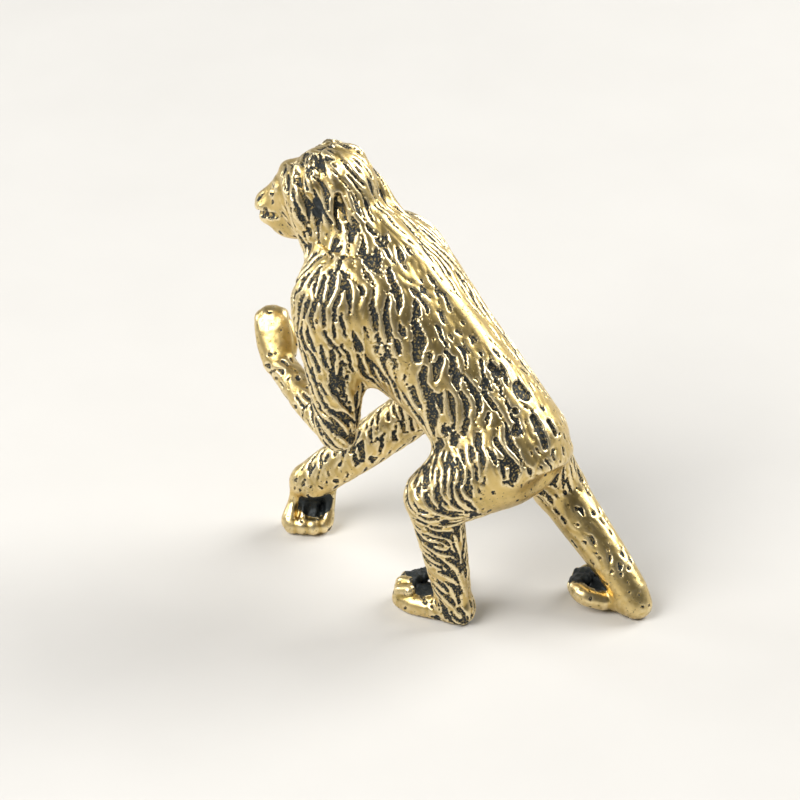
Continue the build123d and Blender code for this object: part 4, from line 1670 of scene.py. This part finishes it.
def set_up(name: str, data: bpy.types.ID, axes: list[Array], place: Array | Place) -> bpy.types.Object:
    """A new lamp or camera in the scene.

    Args:
        name: What to call it.
        data: The lamp or the camera.
        axes: Unit vectors to its right, up and backwards.
        place: Where it is, in metres.

    Returns:
        The new object.
    """
    thing = bpy.data.objects.new(name, data)
    bpy.context.scene.collection.objects.link(thing)
    matrix = np.eye(4)
    matrix[:3, :3], matrix[:3, 3] = np.stack(axes, axis=1), place
    thing.matrix_world = Matrix(matrix.tolist())
    return thing


@dataclass(frozen=True)
class Lamp:
    """A square soft lamp: where it is and how wide, in metres, its power in watts and its colour."""

    name: str
    place: Place
    size: float
    power: float
    colour: Place

    def light(self, target: Place) -> None:
        """Set the lamp up, so that it faces the target.

        Args:
            target: The place that it faces, in metres.
        """
        data = bpy.data.lights.new(self.name, "AREA")
        data.size, data.energy, data.color = self.size, self.power, self.colour
        aim = unit(np.array(self.place) - np.array(target))
        side = unit(np.cross((0.0, 0.0, 1.0), aim))
        set_up(self.name, data, [side, np.cross(aim, side), aim], self.place)


@dataclass(frozen=True)
class Studio:
    """A pale floor and backdrop, soft lamps, and the camera at the photograph's angle.

    Lengths are in metres. The floor is level from its front to where it bends, then it sweeps up
    in a quarter circle and goes on as a wall.
    """

    azimuth: float = 124.0
    elevation: float = 30.0
    away: float = 0.4
    aside: float = -0.002843
    above: float = 0.017432
    lens: float = 180.0
    sensor: float = 36.0
    clip: float = 0.01
    shift: Place = (-0.000184, -0.001322, 0.0)
    floor_front: float = 0.9
    floor_bend: float = 0.35
    bend_radius: float = 0.25
    bend_rows: int = 25
    wall_top: float = 1.2
    half_width: float = 1.2
    columns: int = 9
    paper: tuple[Colour, Colour] = ((0.60, 0.59, 0.57, 1.0), (0.64, 0.63, 0.61, 1.0))
    paper_grain: Cloud = Cloud(60.0, 3.0, 0.5)
    paper_roughness: float = 0.9
    air: Colour = (0.16, 0.16, 0.165, 1.0)
    air_strength: float = 0.5
    target: Place = (0.0, 0.0, 0.02)
    lamps: tuple[Lamp, ...] = (
        Lamp("key_lamp", (0.36, -0.12, 0.40), 0.34, 3.5, (1.0, 0.98, 0.95)),
        Lamp("top_lamp", (-0.40, 0.22, 0.36), 0.36, 3.6, (1.0, 0.99, 0.96)),
        Lamp("front_lamp", (0.10, -0.50, 0.22), 0.20, 0.8, (0.97, 0.99, 1.0)))

    def axes(self) -> tuple[Array, Array, Array]:
        """Unit vectors towards the camera, to its right and up.

        Returns:
            The three vectors.
        """
        turn, lift = np.radians(self.azimuth), np.radians(self.elevation)
        back = np.array((np.sin(turn) * np.cos(lift), -np.cos(turn) * np.cos(lift), np.sin(lift)))
        right = np.array((np.cos(turn), np.sin(turn), 0.0))
        return back, right, np.cross(back, right)

    def camera(self) -> None:
        """Place the camera."""
        back, right, up = self.axes()
        data = bpy.data.cameras.new("camera")
        data.lens, data.sensor_width, data.clip_start = self.lens, self.sensor, self.clip
        place = back * self.away + right * self.aside + up * self.above + np.array(self.shift)
        bpy.context.scene.camera = set_up("camera", data, [right, up, back], place)

    def sheet(self) -> bpy.types.Mesh:
        """The mesh of the floor, its bend and the wall behind the figure.

        Returns:
            The new mesh.
        """
        back, right, _ = self.axes()
        away = unit(np.array((-back[0], -back[1], 0.0)))
        angle = np.linspace(0, np.pi / 2, self.bend_rows)
        bend = np.stack([self.floor_bend + self.bend_radius * np.sin(angle),
                         self.bend_radius - self.bend_radius * np.cos(angle)], axis=1)
        wall = (self.floor_bend + self.bend_radius, self.wall_top)
        profile = np.vstack([[(-self.floor_front, 0.0)], bend, [wall]])
        across = np.linspace(-self.half_width, self.half_width, self.columns)
        grid = (profile[:, None, :1] * away + across[None, :, None] * right
                + profile[:, None, 1:] * np.array((0.0, 0.0, 1.0)))
        index = np.arange(len(profile) * len(across)).reshape(len(profile), len(across))
        faces = np.stack([index[:-1, :-1], index[:-1, 1:], index[1:, 1:], index[1:, :-1]], -1)
        mesh = bpy.data.meshes.new("floor")
        mesh.from_pydata(grid.reshape(-1, 3).tolist(), [], faces.reshape(-1, 4)[:, ::-1].tolist())
        mesh.polygons.foreach_set("use_smooth", np.ones(len(mesh.polygons), bool))
        return mesh

    def floor(self) -> None:
        """Lay the floor and cover it with pale paper."""
        mesh = self.sheet()
        sheet = bpy.data.objects.new("floor", mesh)
        bpy.context.scene.collection.objects.link(sheet)
        material = bpy.data.materials.new("pale_paper")
        material.use_nodes = True
        wire = Wiring(material.node_tree)
        shader = material.node_tree.nodes["Principled BSDF"]
        grain = wire.noise(wire.add("ShaderNodeTexCoord").outputs["Object"], self.paper_grain)
        wire.feed(self.paper_roughness, shader.inputs["Roughness"])
        wire.feed(wire.blend(grain, *self.paper), shader.inputs["Base Color"])
        mesh.materials.append(material)

    def build(self) -> None:
        """Set the floor, the lamps, the world and the camera."""
        self.floor()
        for lamp in self.lamps:
            lamp.light(self.target)
        world = bpy.data.worlds.new("studio_air")
        world.use_nodes = True
        background = world.node_tree.nodes["Background"]
        background.inputs["Color"].default_value = self.air
        background.inputs["Strength"].default_value = self.air_strength
        bpy.context.scene.world = world
        bpy.context.scene.view_settings.view_transform = "Standard"
        self.camera()


def main() -> None:
    """Carve the figure, part it into its sections, dress them and set the studio."""
    logging.basicConfig(level=logging.INFO, format="%(message)s")
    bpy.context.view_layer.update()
    surface = carve_figure(GRID_STEP)
    finish = Brass().make("antique_brass")
    for section in Section:
        piece = surface.part(section)
        piece.data.materials.append(finish)
        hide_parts(section.node)
        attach(piece, "root")
        LOG.info("%s: %d faces", section.node, len(piece.data.polygons))
    Studio().build()


if __name__ == "__main__":
    main()
